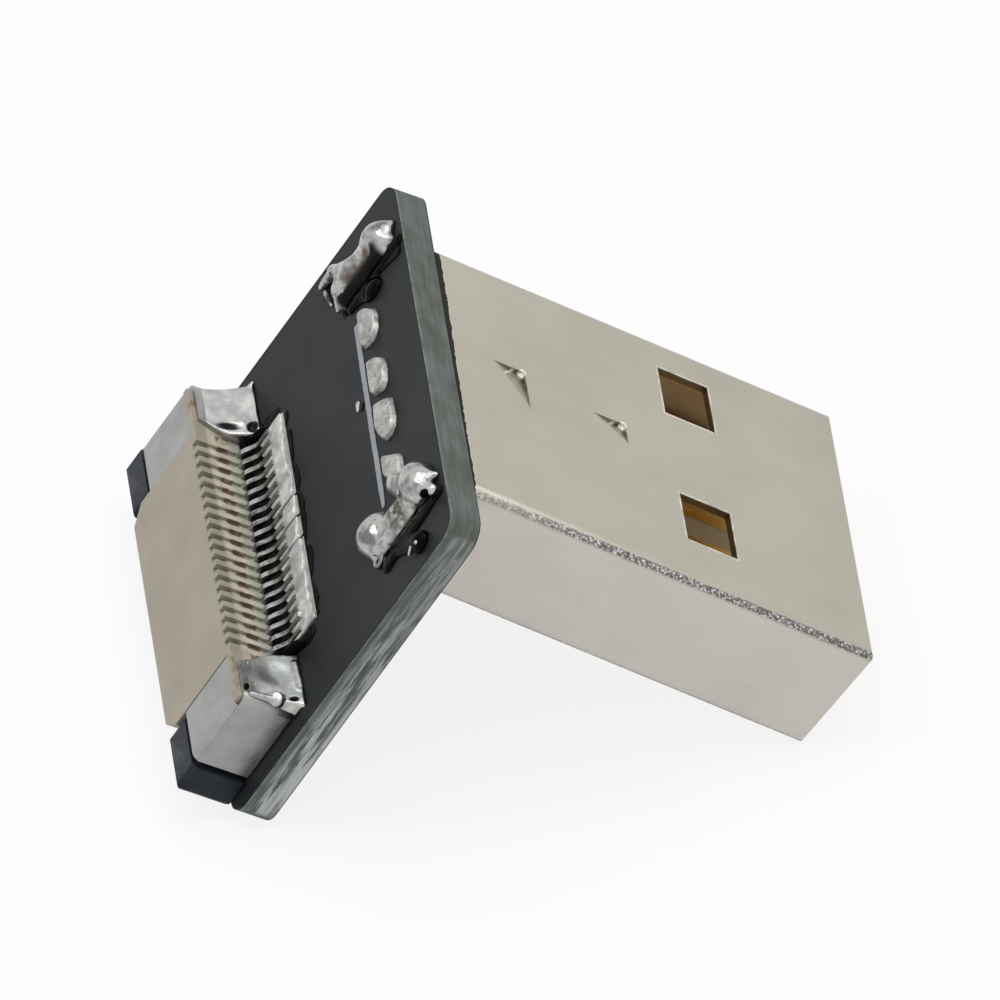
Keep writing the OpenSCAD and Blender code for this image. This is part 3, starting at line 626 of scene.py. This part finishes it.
dress("plug_shell", "shell", 0.05)
dress("plug_insulator", "insulator", 0.05)
dress("circuit_board", "mask", 0.03)
dress("fpc_housing", "socket", 0.02)
dress("fpc_slider", "slider", 0.04)
for k in (1, 2, 3, 4):
    dress(f"plug_contact_{k}", "gold", 0.03)
    dress(f"signal_pads_{k}", "tinned", 0.01)
for k in (1, 2):
    dress(f"hold_down_{k}", "holddown", 0.03)
    dress(f"hold_down_pad_{k}", "tinned", 0.01)
for k in range(1, CONTACTS + 1):
    dress(f"fpc_contact_{k:02d}", "blade", 0.02)


# ---- modelling by distance fields, in millimetres ----
def ball(p, centre, radii):
    """An ellipsoid."""
    q = [(a - c) / r for a, c, r in zip(p, centre, radii)]
    s = [(a - c) / r ** 2 for a, c, r in zip(p, centre, radii)]
    near = np.sqrt(sum(a * a for a in q))
    return near * (near - 1) / np.maximum(np.sqrt(sum(a * a for a in s)), 1e-9)


def rod(p, start, end, start_r, end_r, flat=1.0):
    """A tapered round-ended rod; flat squeezes it towards the board."""
    along = [e - s for s, e in zip(start, end)]
    q = [a - s for a, s in zip(p, start)]
    t = np.clip(sum(a * b for a, b in zip(q, along)) / sum(a * a for a in along), 0, 1)
    off = [a - b * t for a, b in zip(q, along)]
    off[2] = off[2] / flat
    return np.sqrt(sum(a * a for a in off)) - (start_r + (end_r - start_r) * t)


def join(a, b, soft):
    """Both forms, with a fillet about as wide as soft."""
    h = np.clip(0.5 + 0.5 * (b - a) / soft, 0, 1)
    return b + (a - b) * h - soft * h * (1 - h)


def cut(a, b, soft):
    """The first form without the second."""
    return -join(-a, b, soft)


def meet(a, b, soft):
    """Where both forms are."""
    return -join(-a, -b, soft)


def grow(p, shape, *rods):
    """Joins rods to the shape; each is its start, end, the radius at both, and a softness."""
    for start, end, start_r, end_r, soft in rods:
        shape = join(shape, rod(p, start, end, start_r, end_r), soft)
    return shape


def flat(p, centre, far):
    """A plane far from centre whose mirror image of the key light meets the camera."""
    return sum(n * (a - c) for n, a, c in zip(KEY_MIRROR, p, centre)) - far


def lumps(p, size, seed):
    """Smooth noise from -1 to 1, one lump every size millimetres."""
    count = 16   # lumps before the noise repeats
    grid = np.random.default_rng(seed).uniform(-1, 1, (count, count, count))
    cells, shares = [], []
    for a in p:
        q = a / size + 100
        whole = np.floor(q).astype(int)
        part = q - whole
        cells.append(whole % count)
        shares.append(part * part * (3 - 2 * part))
    total = 0
    for i in (0, 1):
        for j in (0, 1):
            for k in (0, 1):
                weight = ((shares[0] if i else 1 - shares[0]) * (shares[1] if j else 1 - shares[1])
                          * (shares[2] if k else 1 - shares[2]))
                total = total + weight * grid[(cells[0] + i) % count, (cells[1] + j) % count,
                                              (cells[2] + k) % count]
    return total


def lumps_across(p, size, seed):
    """The same noise, but changing only across the board."""
    return lumps((p[0], p[0] * 0, p[0] * 0), size, seed)


def closed_values(field, low, high, step):
    """The field on a grid, made to end inside the grid's sides."""
    axes = [np.arange(a, b + step, step) for a, b in zip(low, high)]
    value = field(np.meshgrid(*axes, indexing="ij"))
    for axis in range(3):
        for end in (0, -1):
            face = [slice(None)] * 3
            face[axis] = end
            value[tuple(face)] = np.maximum(value[tuple(face)], step * 0.5)
    return value


def crossed_cells(value):
    """Which cells the surface runs through, and the middle of its crossings in each."""
    shape = tuple(n - 1 for n in value.shape)
    total = np.zeros(shape + (3,))
    count = np.zeros(shape)
    for axis in range(3):
        others = [k for k in range(3) if k != axis]
        for i in (0, 1):
            for j in (0, 1):
                near = [None] * 3
                near[axis] = slice(0, shape[axis])
                near[others[0]] = slice(i, shape[others[0]] + i)
                near[others[1]] = slice(j, shape[others[1]] + j)
                far = list(near)
                far[axis] = slice(1, shape[axis] + 1)
                a, b = value[tuple(near)], value[tuple(far)]
                crossed = (a < 0) != (b < 0)
                share = np.where(crossed, a / np.where(crossed, a - b, 1), 0)
                total[..., axis] += np.where(crossed, share, 0)
                total[..., others[0]] += np.where(crossed, i, 0)
                total[..., others[1]] += np.where(crossed, j, 0)
                count += crossed
    used = count > 0
    return used, total[used] / count[used][:, None]


def outward_quads(inside, number):
    """A quad round each grid edge that the surface crosses, from the cells' numbers."""
    quads = []
    for axis in range(3):
        b, c = (axis + 1) % 3, (axis + 2) % 3
        near = [slice(1, n - 1) for n in inside.shape]
        near[axis] = slice(0, inside.shape[axis] - 1)
        far = list(near)
        far[axis] = slice(1, inside.shape[axis])
        one, two = inside[tuple(near)], inside[tuple(far)]
        place = np.argwhere(one != two)
        place[:, b] += 1
        place[:, c] += 1
        ring = []
        for db, dc in ((-1, -1), (0, -1), (0, 0), (-1, 0)):
            cell = place.copy()
            cell[:, b] += db
            cell[:, c] += dc
            ring.append(number[tuple(cell.T)])
        ring = np.stack(ring, 1)
        outward = one[one != two]
        quads.append(np.where(outward[:, None], ring, ring[:, ::-1]))
    return np.concatenate(quads)


def surface(field, low, high, step):
    """Points and quads of the surface where field(p) crosses 0, one point in each crossed cell."""
    value = closed_values(field, low, high, step)
    used, middle = crossed_cells(value)
    number = np.full(used.shape, -1)
    number[used] = np.arange(used.sum())
    points = np.array(low) + step * (np.argwhere(used) + middle)
    return points, outward_quads(value < 0, number)


def form(name, field, low, high, step, finish, stands_for=()):
    """A piece in the board's frame, cut off just below the board's face."""
    points, quads = surface(lambda p: np.maximum(field(p), -(p[2] + SUNK)), low, high, step)
    placed = points @ np.array(front.to_3x3()).T + np.array(front.translation)
    mesh = bpy.data.meshes.new(name)
    mesh.from_pydata(placed.tolist(), [], quads.tolist())
    mesh.validate()
    mesh.shade_smooth()
    mesh.materials.append(finishes[finish])
    made = bpy.data.objects.new(name, mesh)
    bpy.context.scene.collection.objects.link(made)
    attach(made, "adapter")
    if stands_for:
        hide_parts(*stands_for)


# ---- solder on the shell's legs ----
def leg_joint_1(p):
    """A tall hump with runs, a saddle, and a low second hump with a hollow mouth."""
    top = (6.42, 1.12, 0.04)
    shape = meet(ball(p, top, (0.62, 0.74, 0.68)), flat(p, top, 0.67), 0.02)
    shape = grow(p, shape,
                 ((6.50, 1.30, 0.22), (6.86, 1.90, 0.12), 0.32, 0.24, 0.28),
                 ((6.32, 0.85, 0.34), (6.50, 0.34, 0.06), 0.32, 0.10, 0.30),
                 ((6.28, 0.62, 0.20), (5.96, 0.60, 0.10), 0.26, 0.22, 0.25),
                 ((6.05, 0.80, 0.22), (5.80, 0.50, 0.08), 0.28, 0.14, 0.20))
    # saddle and the second hump's two ridges round its hollow mouth
    shape = grow(p, shape, ((6.38, 1.50, 0.14), (6.48, 2.95, 0.16), 0.38, 0.38, 0.26))
    shape = join(shape, ball(p, (6.68, 3.42, 0.00), (0.62, 0.74, 0.44)), 0.25)
    shape = grow(p, shape,
                 ((6.52, 2.60, 0.34), (7.15, 3.50, 0.36), 0.22, 0.22, 0.20),
                 ((7.15, 3.50, 0.36), (7.74, 4.74, 0.05), 0.22, 0.12, 0.15),
                 ((6.40, 2.80, 0.40), (6.10, 3.30, 0.28), 0.22, 0.20, 0.20))
    shape = cut(shape, ball(p, (6.95, 4.15, 0.50), (0.30, 0.66, 0.44)), 0.12)
    shape = grow(p, shape,
                 ((6.58, 3.10, 0.52), (6.45, 3.75, 0.28), 0.12, 0.10, 0.08),
                 ((6.45, 3.75, 0.28), (5.98, 4.08, 0.03), 0.10, 0.07, 0.06),
                 ((6.12, 3.20, 0.34), (5.95, 3.85, 0.03), 0.14, 0.08, 0.10),
                 ((7.30, 4.55, 0.04), (6.55, 4.40, 0.02), 0.12, 0.07, 0.10))
    # over the leg
    shape = grow(p, shape,
                 ((LEG_SIDE + 0.02, 1.00, 0.06), (LEG_SIDE, 3.55, 0.06), 0.35, 0.35, 0.15))
    return shape + 0.030 * lumps(p, 0.55, 3)


def leg_joint_2(p):
    """Two round humps with a narrow waist between them, and a tail to the fourth pin."""
    shape = ball(p, (-5.40, 1.12, 0.05), (0.86, 0.72, 0.84))
    shape = grow(p, shape,
                 ((-5.60, 0.80, 0.34), (-5.72, 0.30, 0.05), 0.32, 0.12, 0.26),
                 ((-5.85, 0.90, 0.36), (-6.28, 0.48, 0.16), 0.34, 0.20, 0.28))
    shape = join(shape, ball(p, (-6.02, 1.18, 0.28), (0.22, 0.22, 0.20)), 0.12)
    shape = grow(p, shape, ((-5.48, 1.50, 0.12), (-5.42, 3.00, 0.10), 0.42, 0.38, 0.24))
    # second hump, and the tail to the pin
    top = (-5.18, 3.90, 0.05)
    hump = meet(ball(p, top, (0.80, 0.84, 0.78)), flat(p, top, 0.775), 0.02)
    shape = join(shape, hump, 0.22)
    tail = rod(p, (-4.90, 2.00, 0.06), (-3.75, 2.62, 0.04), 0.42, 0.40, 0.55)
    shape = join(shape, tail, 0.25)
    shape = grow(p, shape, ((-5.30, 4.10, 0.10), (-6.00, 4.00, 0.06), 0.40, 0.26, 0.20))
    # over the leg
    shape = grow(p, shape, ((-LEG_SIDE, 1.10, 0.06), (-LEG_SIDE, 3.60, 0.06), 0.35, 0.35, 0.15))
    # two holes, the second with a rim
    shape = cut(shape, ball(p, (HOLE[0], HOLE[1], 0.46), (0.09, 0.20, 0.22)), 0.04)
    reach = np.hypot(p[0] - PIT[0], p[1] - PIT[1])
    rim = np.sqrt((reach - 0.19) ** 2 + (p[2] - 0.10) ** 2) - 0.085
    shape = cut(shape, rod(p, (*PIT, 0.0), (*PIT, 0.6), 0.14, 0.17), 0.03)
    shape = join(shape, rim, 0.06)
    return shape + 0.042 * lumps(p, 0.55, 13)


for k, side, field in ((1, 1, leg_joint_1), (2, -1, leg_joint_2)):
    low, high = sorted((side * 3.2, side * 8.1))
    form(f"leg_joint_{k}", field, (low, -0.1, -0.1), (high, 5.1, 1.3), COARSE,
         f"solder_{k}", (f"leg_solder_{k}",))
# painted shade: black fills in the second joint's two holes
form("joint_hole", lambda p: ball(p, (*HOLE, 0.34), (0.08, 0.17, 0.17)),
     (-6.6, 0.4, -0.05), (-6.1, 1.0, 0.6), 0.03, "flux")
form("joint_pit", lambda p: ball(p, (*PIT, 0.0), (0.17, 0.17, 0.07)),
     (-6.4, 3.8, -0.05), (-5.9, 4.4, 0.15), FINE, "flux")


# ---- dark flux beside the legs, with the open slots' painted shade, and painted shade beside the hold-downs and the contacts' solder ----
def leg_flux_and_shade_1(p):
    """Flux along the inner side of the first leg joint, which also paints the shade of the open
    slot there.
    """
    shape = rod(p, (5.60, 0.30, 0.0), (5.42, 3.25, 0.0), 0.30, 0.34, 0.45)
    shape = join(shape, rod(p, (5.15, 0.35, 0.0), (5.30, 1.20, 0.0), 0.22, 0.20, 0.3), 0.15)
    shape = join(shape, ball(p, (4.90, 1.98, 0.0), (0.36, 0.50, 0.28)), 0.20)
    shape = join(shape, rod(p, (5.35, 2.85, 0.0), (5.00, 2.30, 0.0), 0.28, 0.26, 0.5), 0.2)
    return shape + 0.02 * lumps(p, 0.4, 23)


def leg_flux_and_shade_2(p):
    """Flux along the outer side of the second leg joint, with a round drop; its band also paints
    the shade of the open slot there.
    """
    shape = rod(p, (-6.45, 0.35, 0.0), (-6.62, 3.70, 0.0), 0.26, 0.34, 0.4)
    shape = join(shape, ball(p, (-7.52, 1.72, 0.02), (0.40, 0.42, 0.34)), 0.15)
    shape = join(shape, rod(p, (-6.75, 2.70, 0.0), (-7.20, 2.10, 0.0), 0.34, 0.34, 0.4), 0.2)
    return shape + 0.02 * lumps(p, 0.4, 33)


def corner_shade_1(p):
    """Painted shade: a black lump in the first hold-down's corner, and the film that runs on from
    it.
    """
    film = ball(p, (5.30, 8.80, 0.0), (0.42, 0.66, 0.05))
    shape = join(ball(p, (5.18, 9.60, 0.0), (0.22, 0.62, 0.34)), film, 0.05)
    return shape + 0.02 * lumps(p, 0.3, 43)


def corner_shade_2(p):
    """Painted shade: the same in the second hold-down's corner."""
    film = ball(p, (-5.20, 8.80, 0.0), (0.34, 0.60, 0.05))
    shape = join(ball(p, (-5.16, 9.60, 0.0), (0.22, 0.68, 0.38)), film, 0.05)
    return shape + 0.02 * lumps(p, 0.3, 53)


def strip_edge_shade(p):
    """Painted shade: a thin black film along the outer edge of the contacts' solder."""
    across, down, up = p
    reach = 0.28 + 0.14 * lumps_across(p, 0.35, 61) + 0.10 * lumps_across(p, 1.1, 62)
    shape = meet(np.abs(down - 8.14) - reach, np.abs(across) - 4.86, 0.10)
    return meet(shape + 0.02 * lumps(p, 0.25, 63), up - 0.04, 0.02)


# the second hold-down's notch gets its painted shade with the hold-downs' solder
for k, field, low, high, step in ((1, leg_flux_and_shade_1, (4.2, -0.1, -0.1), (6.1, 3.9, 0.6), COARSE),
                                  (2, leg_flux_and_shade_2, (-8.1, -0.1, -0.1), (-5.9, 4.3, 0.6), COARSE),
                                  (3, corner_shade_1, (4.7, 8.0, -0.03), (5.9, 10.4, 0.6), FINE),
                                  (4, corner_shade_2, (-5.7, 8.0, -0.03), (-4.7, 10.4, 0.6), FINE),
                                  (6, strip_edge_shade, (-5.1, 7.4, -0.03), (5.1, 8.8, 0.1), FINE)):
    form(f"flux_{k}", field, low, high, step, "flux")


def flux_beads(p):
    """Two specks of solder caught in the flux."""
    return np.minimum(ball(p, (-7.72, 1.66, 0.30), (0.08, 0.08, 0.07)),
                      rod(p, (-7.46, 2.12, 0.20), (-7.56, 2.36, 0.14), 0.055, 0.045))


form("flux_beads", flux_beads, (-7.9, 1.5, -0.05), (-7.3, 2.5, 0.45), 0.02, "solder")


# ---- joints on the four pins, trimmed flat ----
def plate(p, corners, soft):
    """Distance to a convex outline with its corners in turn, rounded by soft."""
    shape = None
    for (x0, y0), (x1, y1) in zip(corners, corners[1:] + corners[:1]):
        run = math.hypot(x1 - x0, y1 - y0)
        side = ((p[0] - x0) * (y1 - y0) - (p[1] - y0) * (x1 - x0)) / run
        shape = side if shape is None else meet(shape, side, soft)
    return shape


def pin_joint(corners, k):
    """The field of one joint: sloping sides, and a lumpy top that leans a little."""
    def field(p):
        down, up = p[1], p[2]
        top = 0.235 + 0.030 * lumps(p, 0.55, 40 + k) + 0.03 * (down - 2.4)
        shape = meet(plate(p, corners, 0.16) + 0.30 * up, up - top, 0.07)
        return shape + 0.014 * lumps(p, 0.30, 50 + k)
    return field


pins = (
    ((4.62, 2.95), (2.95, 3.00), (2.86, 2.32), (3.18, 2.03), (3.95, 2.00), (4.50, 2.42)),
    ((2.26, 2.92), (0.66, 2.98), (0.40, 2.55), (0.43, 2.12), (0.72, 1.98), (1.48, 1.96),
     (1.98, 2.25)),
    ((0.25, 2.95), (-1.10, 3.00), (-1.78, 2.70), (-1.80, 2.18), (-1.45, 1.94), (-0.32, 1.92)),
    ((-2.22, 2.95), (-3.25, 3.02), (-3.92, 2.40), (-3.95, 1.98), (-2.98, 1.98)),
)
for k, corners in enumerate(pins, 1):
    low = (min(x for x, y in corners) - 0.15, 1.6, -0.1)
    high = (max(x for x, y in corners) + 0.15, 3.2, 0.5)
    form(f"pin_joint_{k}", pin_joint(corners, k), low, high, 0.035, "pin",
         (f"pin_solder_{k}",))


# ---- solder drawn up the back of each hold-down ----
def ripples_1(p, shape):
    """A foot that runs out, a low roll, a hollow with a drop in it, and a hole below."""
    shape = grow(p, shape,
                 ((7.62, 9.80, 0.06), (7.78, 9.42, 0.02), 0.14, 0.05, 0.10),
                 ((7.30, 9.55, 0.05), (5.60, 9.50, 0.02), 0.09, 0.07, 0.10))
    shape = cut(shape, ball(p, (5.68, 9.66, 0.98), (0.19, 0.30, 0.42)), 0.08)
    shape = join(shape, ball(p, (5.90, 9.78, 0.46), (0.13, 0.13, 0.13)), 0.05)
    return cut(shape, ball(p, (5.66, 9.58, 0.22), (0.22, 0.16, 0.15)), 0.05)


def ripples_2(p, shape):
    """A shallow dish, a ridge that ends in a bead, a hole beside it, and a low roll."""
    shape = cut(shape, ball(p, (-6.25, 9.52, 1.10), (0.72, 0.34, 0.66)), 0.20)
    shape = grow(p, shape, ((-7.36, 10.00, 1.70), (-7.47, 9.86, 0.80), 0.07, 0.12, 0.10))
    top = (-7.42, 9.88, 0.82)
    bead = meet(ball(p, top, (0.26, 0.26, 0.26)), flat(p, top, 0.15), 0.02)
    shape = join(shape, bead, 0.05)
    shape = cut(shape, ball(p, (-7.44, 9.66, 0.28), (0.10, 0.16, 0.13)), 0.05)
    return grow(p, shape, ((-5.80, 9.52, 0.12), (-6.90, 9.46, 0.08), 0.12, 0.10, 0.12))


def hold_joint(side, ripples, seed):
    """The field of the fillet on one side of the board, 1 or -1, with its own ripples."""
    def field(p):
        across, down, up = side * p[0], p[1], p[2]
        rise = np.clip(1 - up / HOLD_TOP, 0, 1)
        slope = HOLD_BACK + 0.03 - 0.64 * rise ** 1.6
        inner = CORE_HALF - 0.03 + 0.5 * np.clip((up - 0.95) / 0.9, 0, 1)
        outer = HOLD_SIDE - 0.16 + 0.28 * rise ** 2
        shape = meet(slope - down, down - HOLD_BACK - 0.05, 0.03)
        shape = meet(shape, up - (HOLD_TOP - 0.02), 0.06)
        shape = meet(shape, inner - across, 0.06)
        shape = meet(shape, across - outer, 0.08)
        return ripples(p, shape) + 0.012 * lumps(p, 0.45, seed)
    return field


for k, side, ripples in ((1, 1, ripples_1), (2, -1, ripples_2)):
    low, high = sorted((side * 5.0, side * 7.95))
    form(f"hold_joint_{k}", hold_joint(side, ripples, 60 + k), (low, 9.2, -0.05),
         (high, 12.6, 2.15), COARSE, "fillet", (f"hold_down_solder_{k}",))
# painted shade: a black piece in the notch at the second hold-down's top outer corner
form("flux_5", lambda p: ball(p, (-7.10, 9.99, 1.86), (0.12, 0.09, 0.10)),
     (-7.3, 9.8, 1.7), (-6.9, 10.2, 2.0), FINE, "flux")


# ---- solder on the contact tails' feet ----
def foot_solder(upper, lower, k):
    """The field of one strip: ragged at its outer edge, and waved where the feet lie."""
    def field(p):
        across, down, up = p
        ragged = 0.10 * lumps_across(p, 0.30, 70 + k)
        start = 8.12 + ragged + 0.08 * lumps_across(p, 0.9, 80 + k)
        feet = np.cos((across / PITCH - 0.5) * 2 * math.pi)
        end = 9.42 + 0.05 * feet
        shape = np.maximum(np.maximum(across - upper, lower - across),
                           np.maximum(start - down, down - end))
        wave = feet * np.clip((down - 8.6) / 0.4, 0, 1)
        shape = meet(shape, up - (0.135 + 0.035 * wave), 0.03)
        return shape + 0.008 * lumps(p, 0.30, 90 + k)
    return field


groups = ((1, 8), (9, 10), (11, 12), (13, 20))   # contacts that share a strip of solder
for k, (first, last) in enumerate(groups, 1):
    upper = ((CONTACTS + 1) / 2 - first) * PITCH + 0.19
    lower = ((CONTACTS + 1) / 2 - last) * PITCH - 0.19
    form(f"foot_solder_{k}", foot_solder(upper, lower, k), (lower - 0.15, 7.75, -0.05),
         (upper + 0.15, 9.6, 0.3), 0.035, "strip", (f"signal_solder_{k}",))
form("solder_ball", lambda p: ball(p, (-4.26, 8.66, 0.19), (0.15, 0.15, 0.15)),
     (-4.6, 8.3, -0.05), (-4.0, 9.0, 0.5), 0.03, "solder")


# ---- printed line and plated hole ----
def line_ink(p):
    """A thin printed line with ragged edges, narrower at its lower end."""
    across, down, up = p
    drift = 0.02 * across + 0.012 * lumps_across(p, 1.2, 5)
    half = 0.135 - 0.055 * np.clip((-3.4 - across) / 0.8, 0, 1)
    shape = meet(np.abs(down - 3.37 + drift) - half, np.abs(across - 0.16) - 4.32, 0.10)
    shape = shape + 0.010 * lumps(p, 0.12, 6)
    return np.maximum(np.maximum(shape, up - 0.03), -(up + 0.005))


def via_ring(p):
    """What shows of the plated hole's ring, as a bright arc at one side of it."""
    return join(ball(p, (1.24, 3.91, 0.0), (0.15, 0.12, 0.07)),
                ball(p, (1.08, 3.97, 0.0), (0.12, 0.08, 0.04)), 0.05)


form("ink_line", line_ink, (-4.4, 3.1, -0.02), (4.7, 3.7, 0.05), 0.022, "print",
     ("print_line",))
form("via_ring", via_ring, (0.7, 3.5, -0.05), (1.6, 4.3, 0.15), 0.02, "strip")
# painted shade: a black disc in the plated hole
form("via_hole", lambda p: ball(p, (0.95, 3.72, 0.0), (0.19, 0.17, 0.035)),
     (0.65, 3.45, -0.03), (1.25, 4.0, 0.06), 0.015, "flux")


# ---- floor, light and camera ----
def seen_directly(tree):
    """1 where the camera, a reflection or glass sees it, and 0 for the light it sheds."""
    rays = add(tree, "LightPath").outputs
    seen = rays["Is Camera Ray"]
    for ray in ("Is Glossy Ray", "Is Transmission Ray"):
        seen = add(tree, "Math", {0: seen, 1: rays[ray]}, operation="MAXIMUM").outputs[0]
    return seen


FLOOR_HALF = 1.5    # metres
FLOOR_WHITE = 0.85  # share of plain white in the floor that is seen; the rest keeps the shadow
SKY_LIGHT = 0.60    # strength of the world's light on the object
OBJECT_MIDDLE = Vector((0, 0, 0.006))   # metres; the lamps face it

mesh = bpy.data.meshes.new("floor")
corners = [(x * FLOOR_HALF, y * FLOOR_HALF, 0) for x, y in ((-1, -1), (1, -1), (1, 1), (-1, 1))]
mesh.from_pydata(corners, [], [(0, 1, 2, 3)])
floor = bpy.data.objects.new("floor", mesh)
bpy.context.scene.collection.objects.link(floor)
paper = bpy.data.materials.new("paper")
paper.use_nodes = True
tree = paper.node_tree
lit = tree.nodes["Principled BSDF"]
lit.inputs["Base Color"].default_value = (0.93, 0.93, 0.93, 1)
lit.inputs["Roughness"].default_value = 0.9
share = add(tree, "Math", {0: seen_directly(tree), 1: FLOOR_WHITE}, operation="MULTIPLY")
blend = add(tree, "MixShader", {0: share.outputs[0], 1: lit.outputs[0],
                                2: add(tree, "Emission").outputs[0]})
tree.links.new(blend.outputs[0], tree.nodes["Material Output"].inputs[0])
mesh.materials.append(paper)
floor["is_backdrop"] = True

world = bpy.data.worlds.new("studio")
bpy.context.scene.world = world
world.use_nodes = True
tree = world.node_tree
sky = tree.nodes["Background"]
sky.inputs["Color"].default_value = (1, 1, 1, 1)
level = add(tree, "MapRange", {0: seen_directly(tree), 3: SKY_LIGHT, 4: 1.0})
tree.links.new(level.outputs[0], sky.inputs["Strength"])


def softbox(name, place, width, depth, radiance):
    """A lamp that faces the middle of the object, as bright as radiance where it is seen."""
    lamp = bpy.data.lights.new(name, "AREA")
    lamp.shape = "RECTANGLE"
    lamp.size, lamp.size_y = width, depth
    lamp.energy = radiance * math.pi * width * depth
    made = bpy.data.objects.new(name, lamp)
    made.location = place
    aim = OBJECT_MIDDLE - Vector(place)
    made.rotation_euler = aim.to_track_quat("-Z", "Y").to_euler()
    bpy.context.scene.collection.objects.link(made)


softbox("overhead", (0.05, 0.10, 0.42), 0.40, 0.30, 1.8)
softbox("key", (-0.22, 0.0, 0.40), 0.09, 0.07, 11.0)

# a long lens from in front and above, rolled a little about its own axis
VIEW_AZIMUTH, VIEW_ELEVATION, VIEW_ROLL = -8.12, 43.08, 2.0
VIEW_TARGET = Vector((-0.144, -0.201, 6.466)) * MM
VIEW_DISTANCE = 1.0959
SENSOR_WIDTH, FOCAL_LENGTH = 36, 1200   # millimetres
azimuth, elevation = math.radians(VIEW_AZIMUTH), math.radians(VIEW_ELEVATION)
back = Vector((math.sin(azimuth) * math.cos(elevation), -math.cos(azimuth) * math.cos(elevation),
               math.sin(elevation)))
right = Vector((0, 0, 1)).cross(back).normalized()
up = back.cross(right)
roll = math.radians(VIEW_ROLL)
right, up = (right * math.cos(roll) + up * math.sin(roll),
             up * math.cos(roll) - right * math.sin(roll))
lens = bpy.data.cameras.new("camera")
lens.sensor_width = SENSOR_WIDTH
lens.lens = FOCAL_LENGTH
lens.clip_start, lens.clip_end = 0.1, 10
camera = bpy.data.objects.new("camera", lens)
camera.matrix_world = Matrix((right, up, back)).transposed().to_4x4()
camera.location = VIEW_TARGET + back * VIEW_DISTANCE
bpy.context.scene.collection.objects.link(camera)
bpy.context.scene.camera = camera
bpy.context.scene.view_settings.view_transform = "Standard"

low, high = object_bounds()
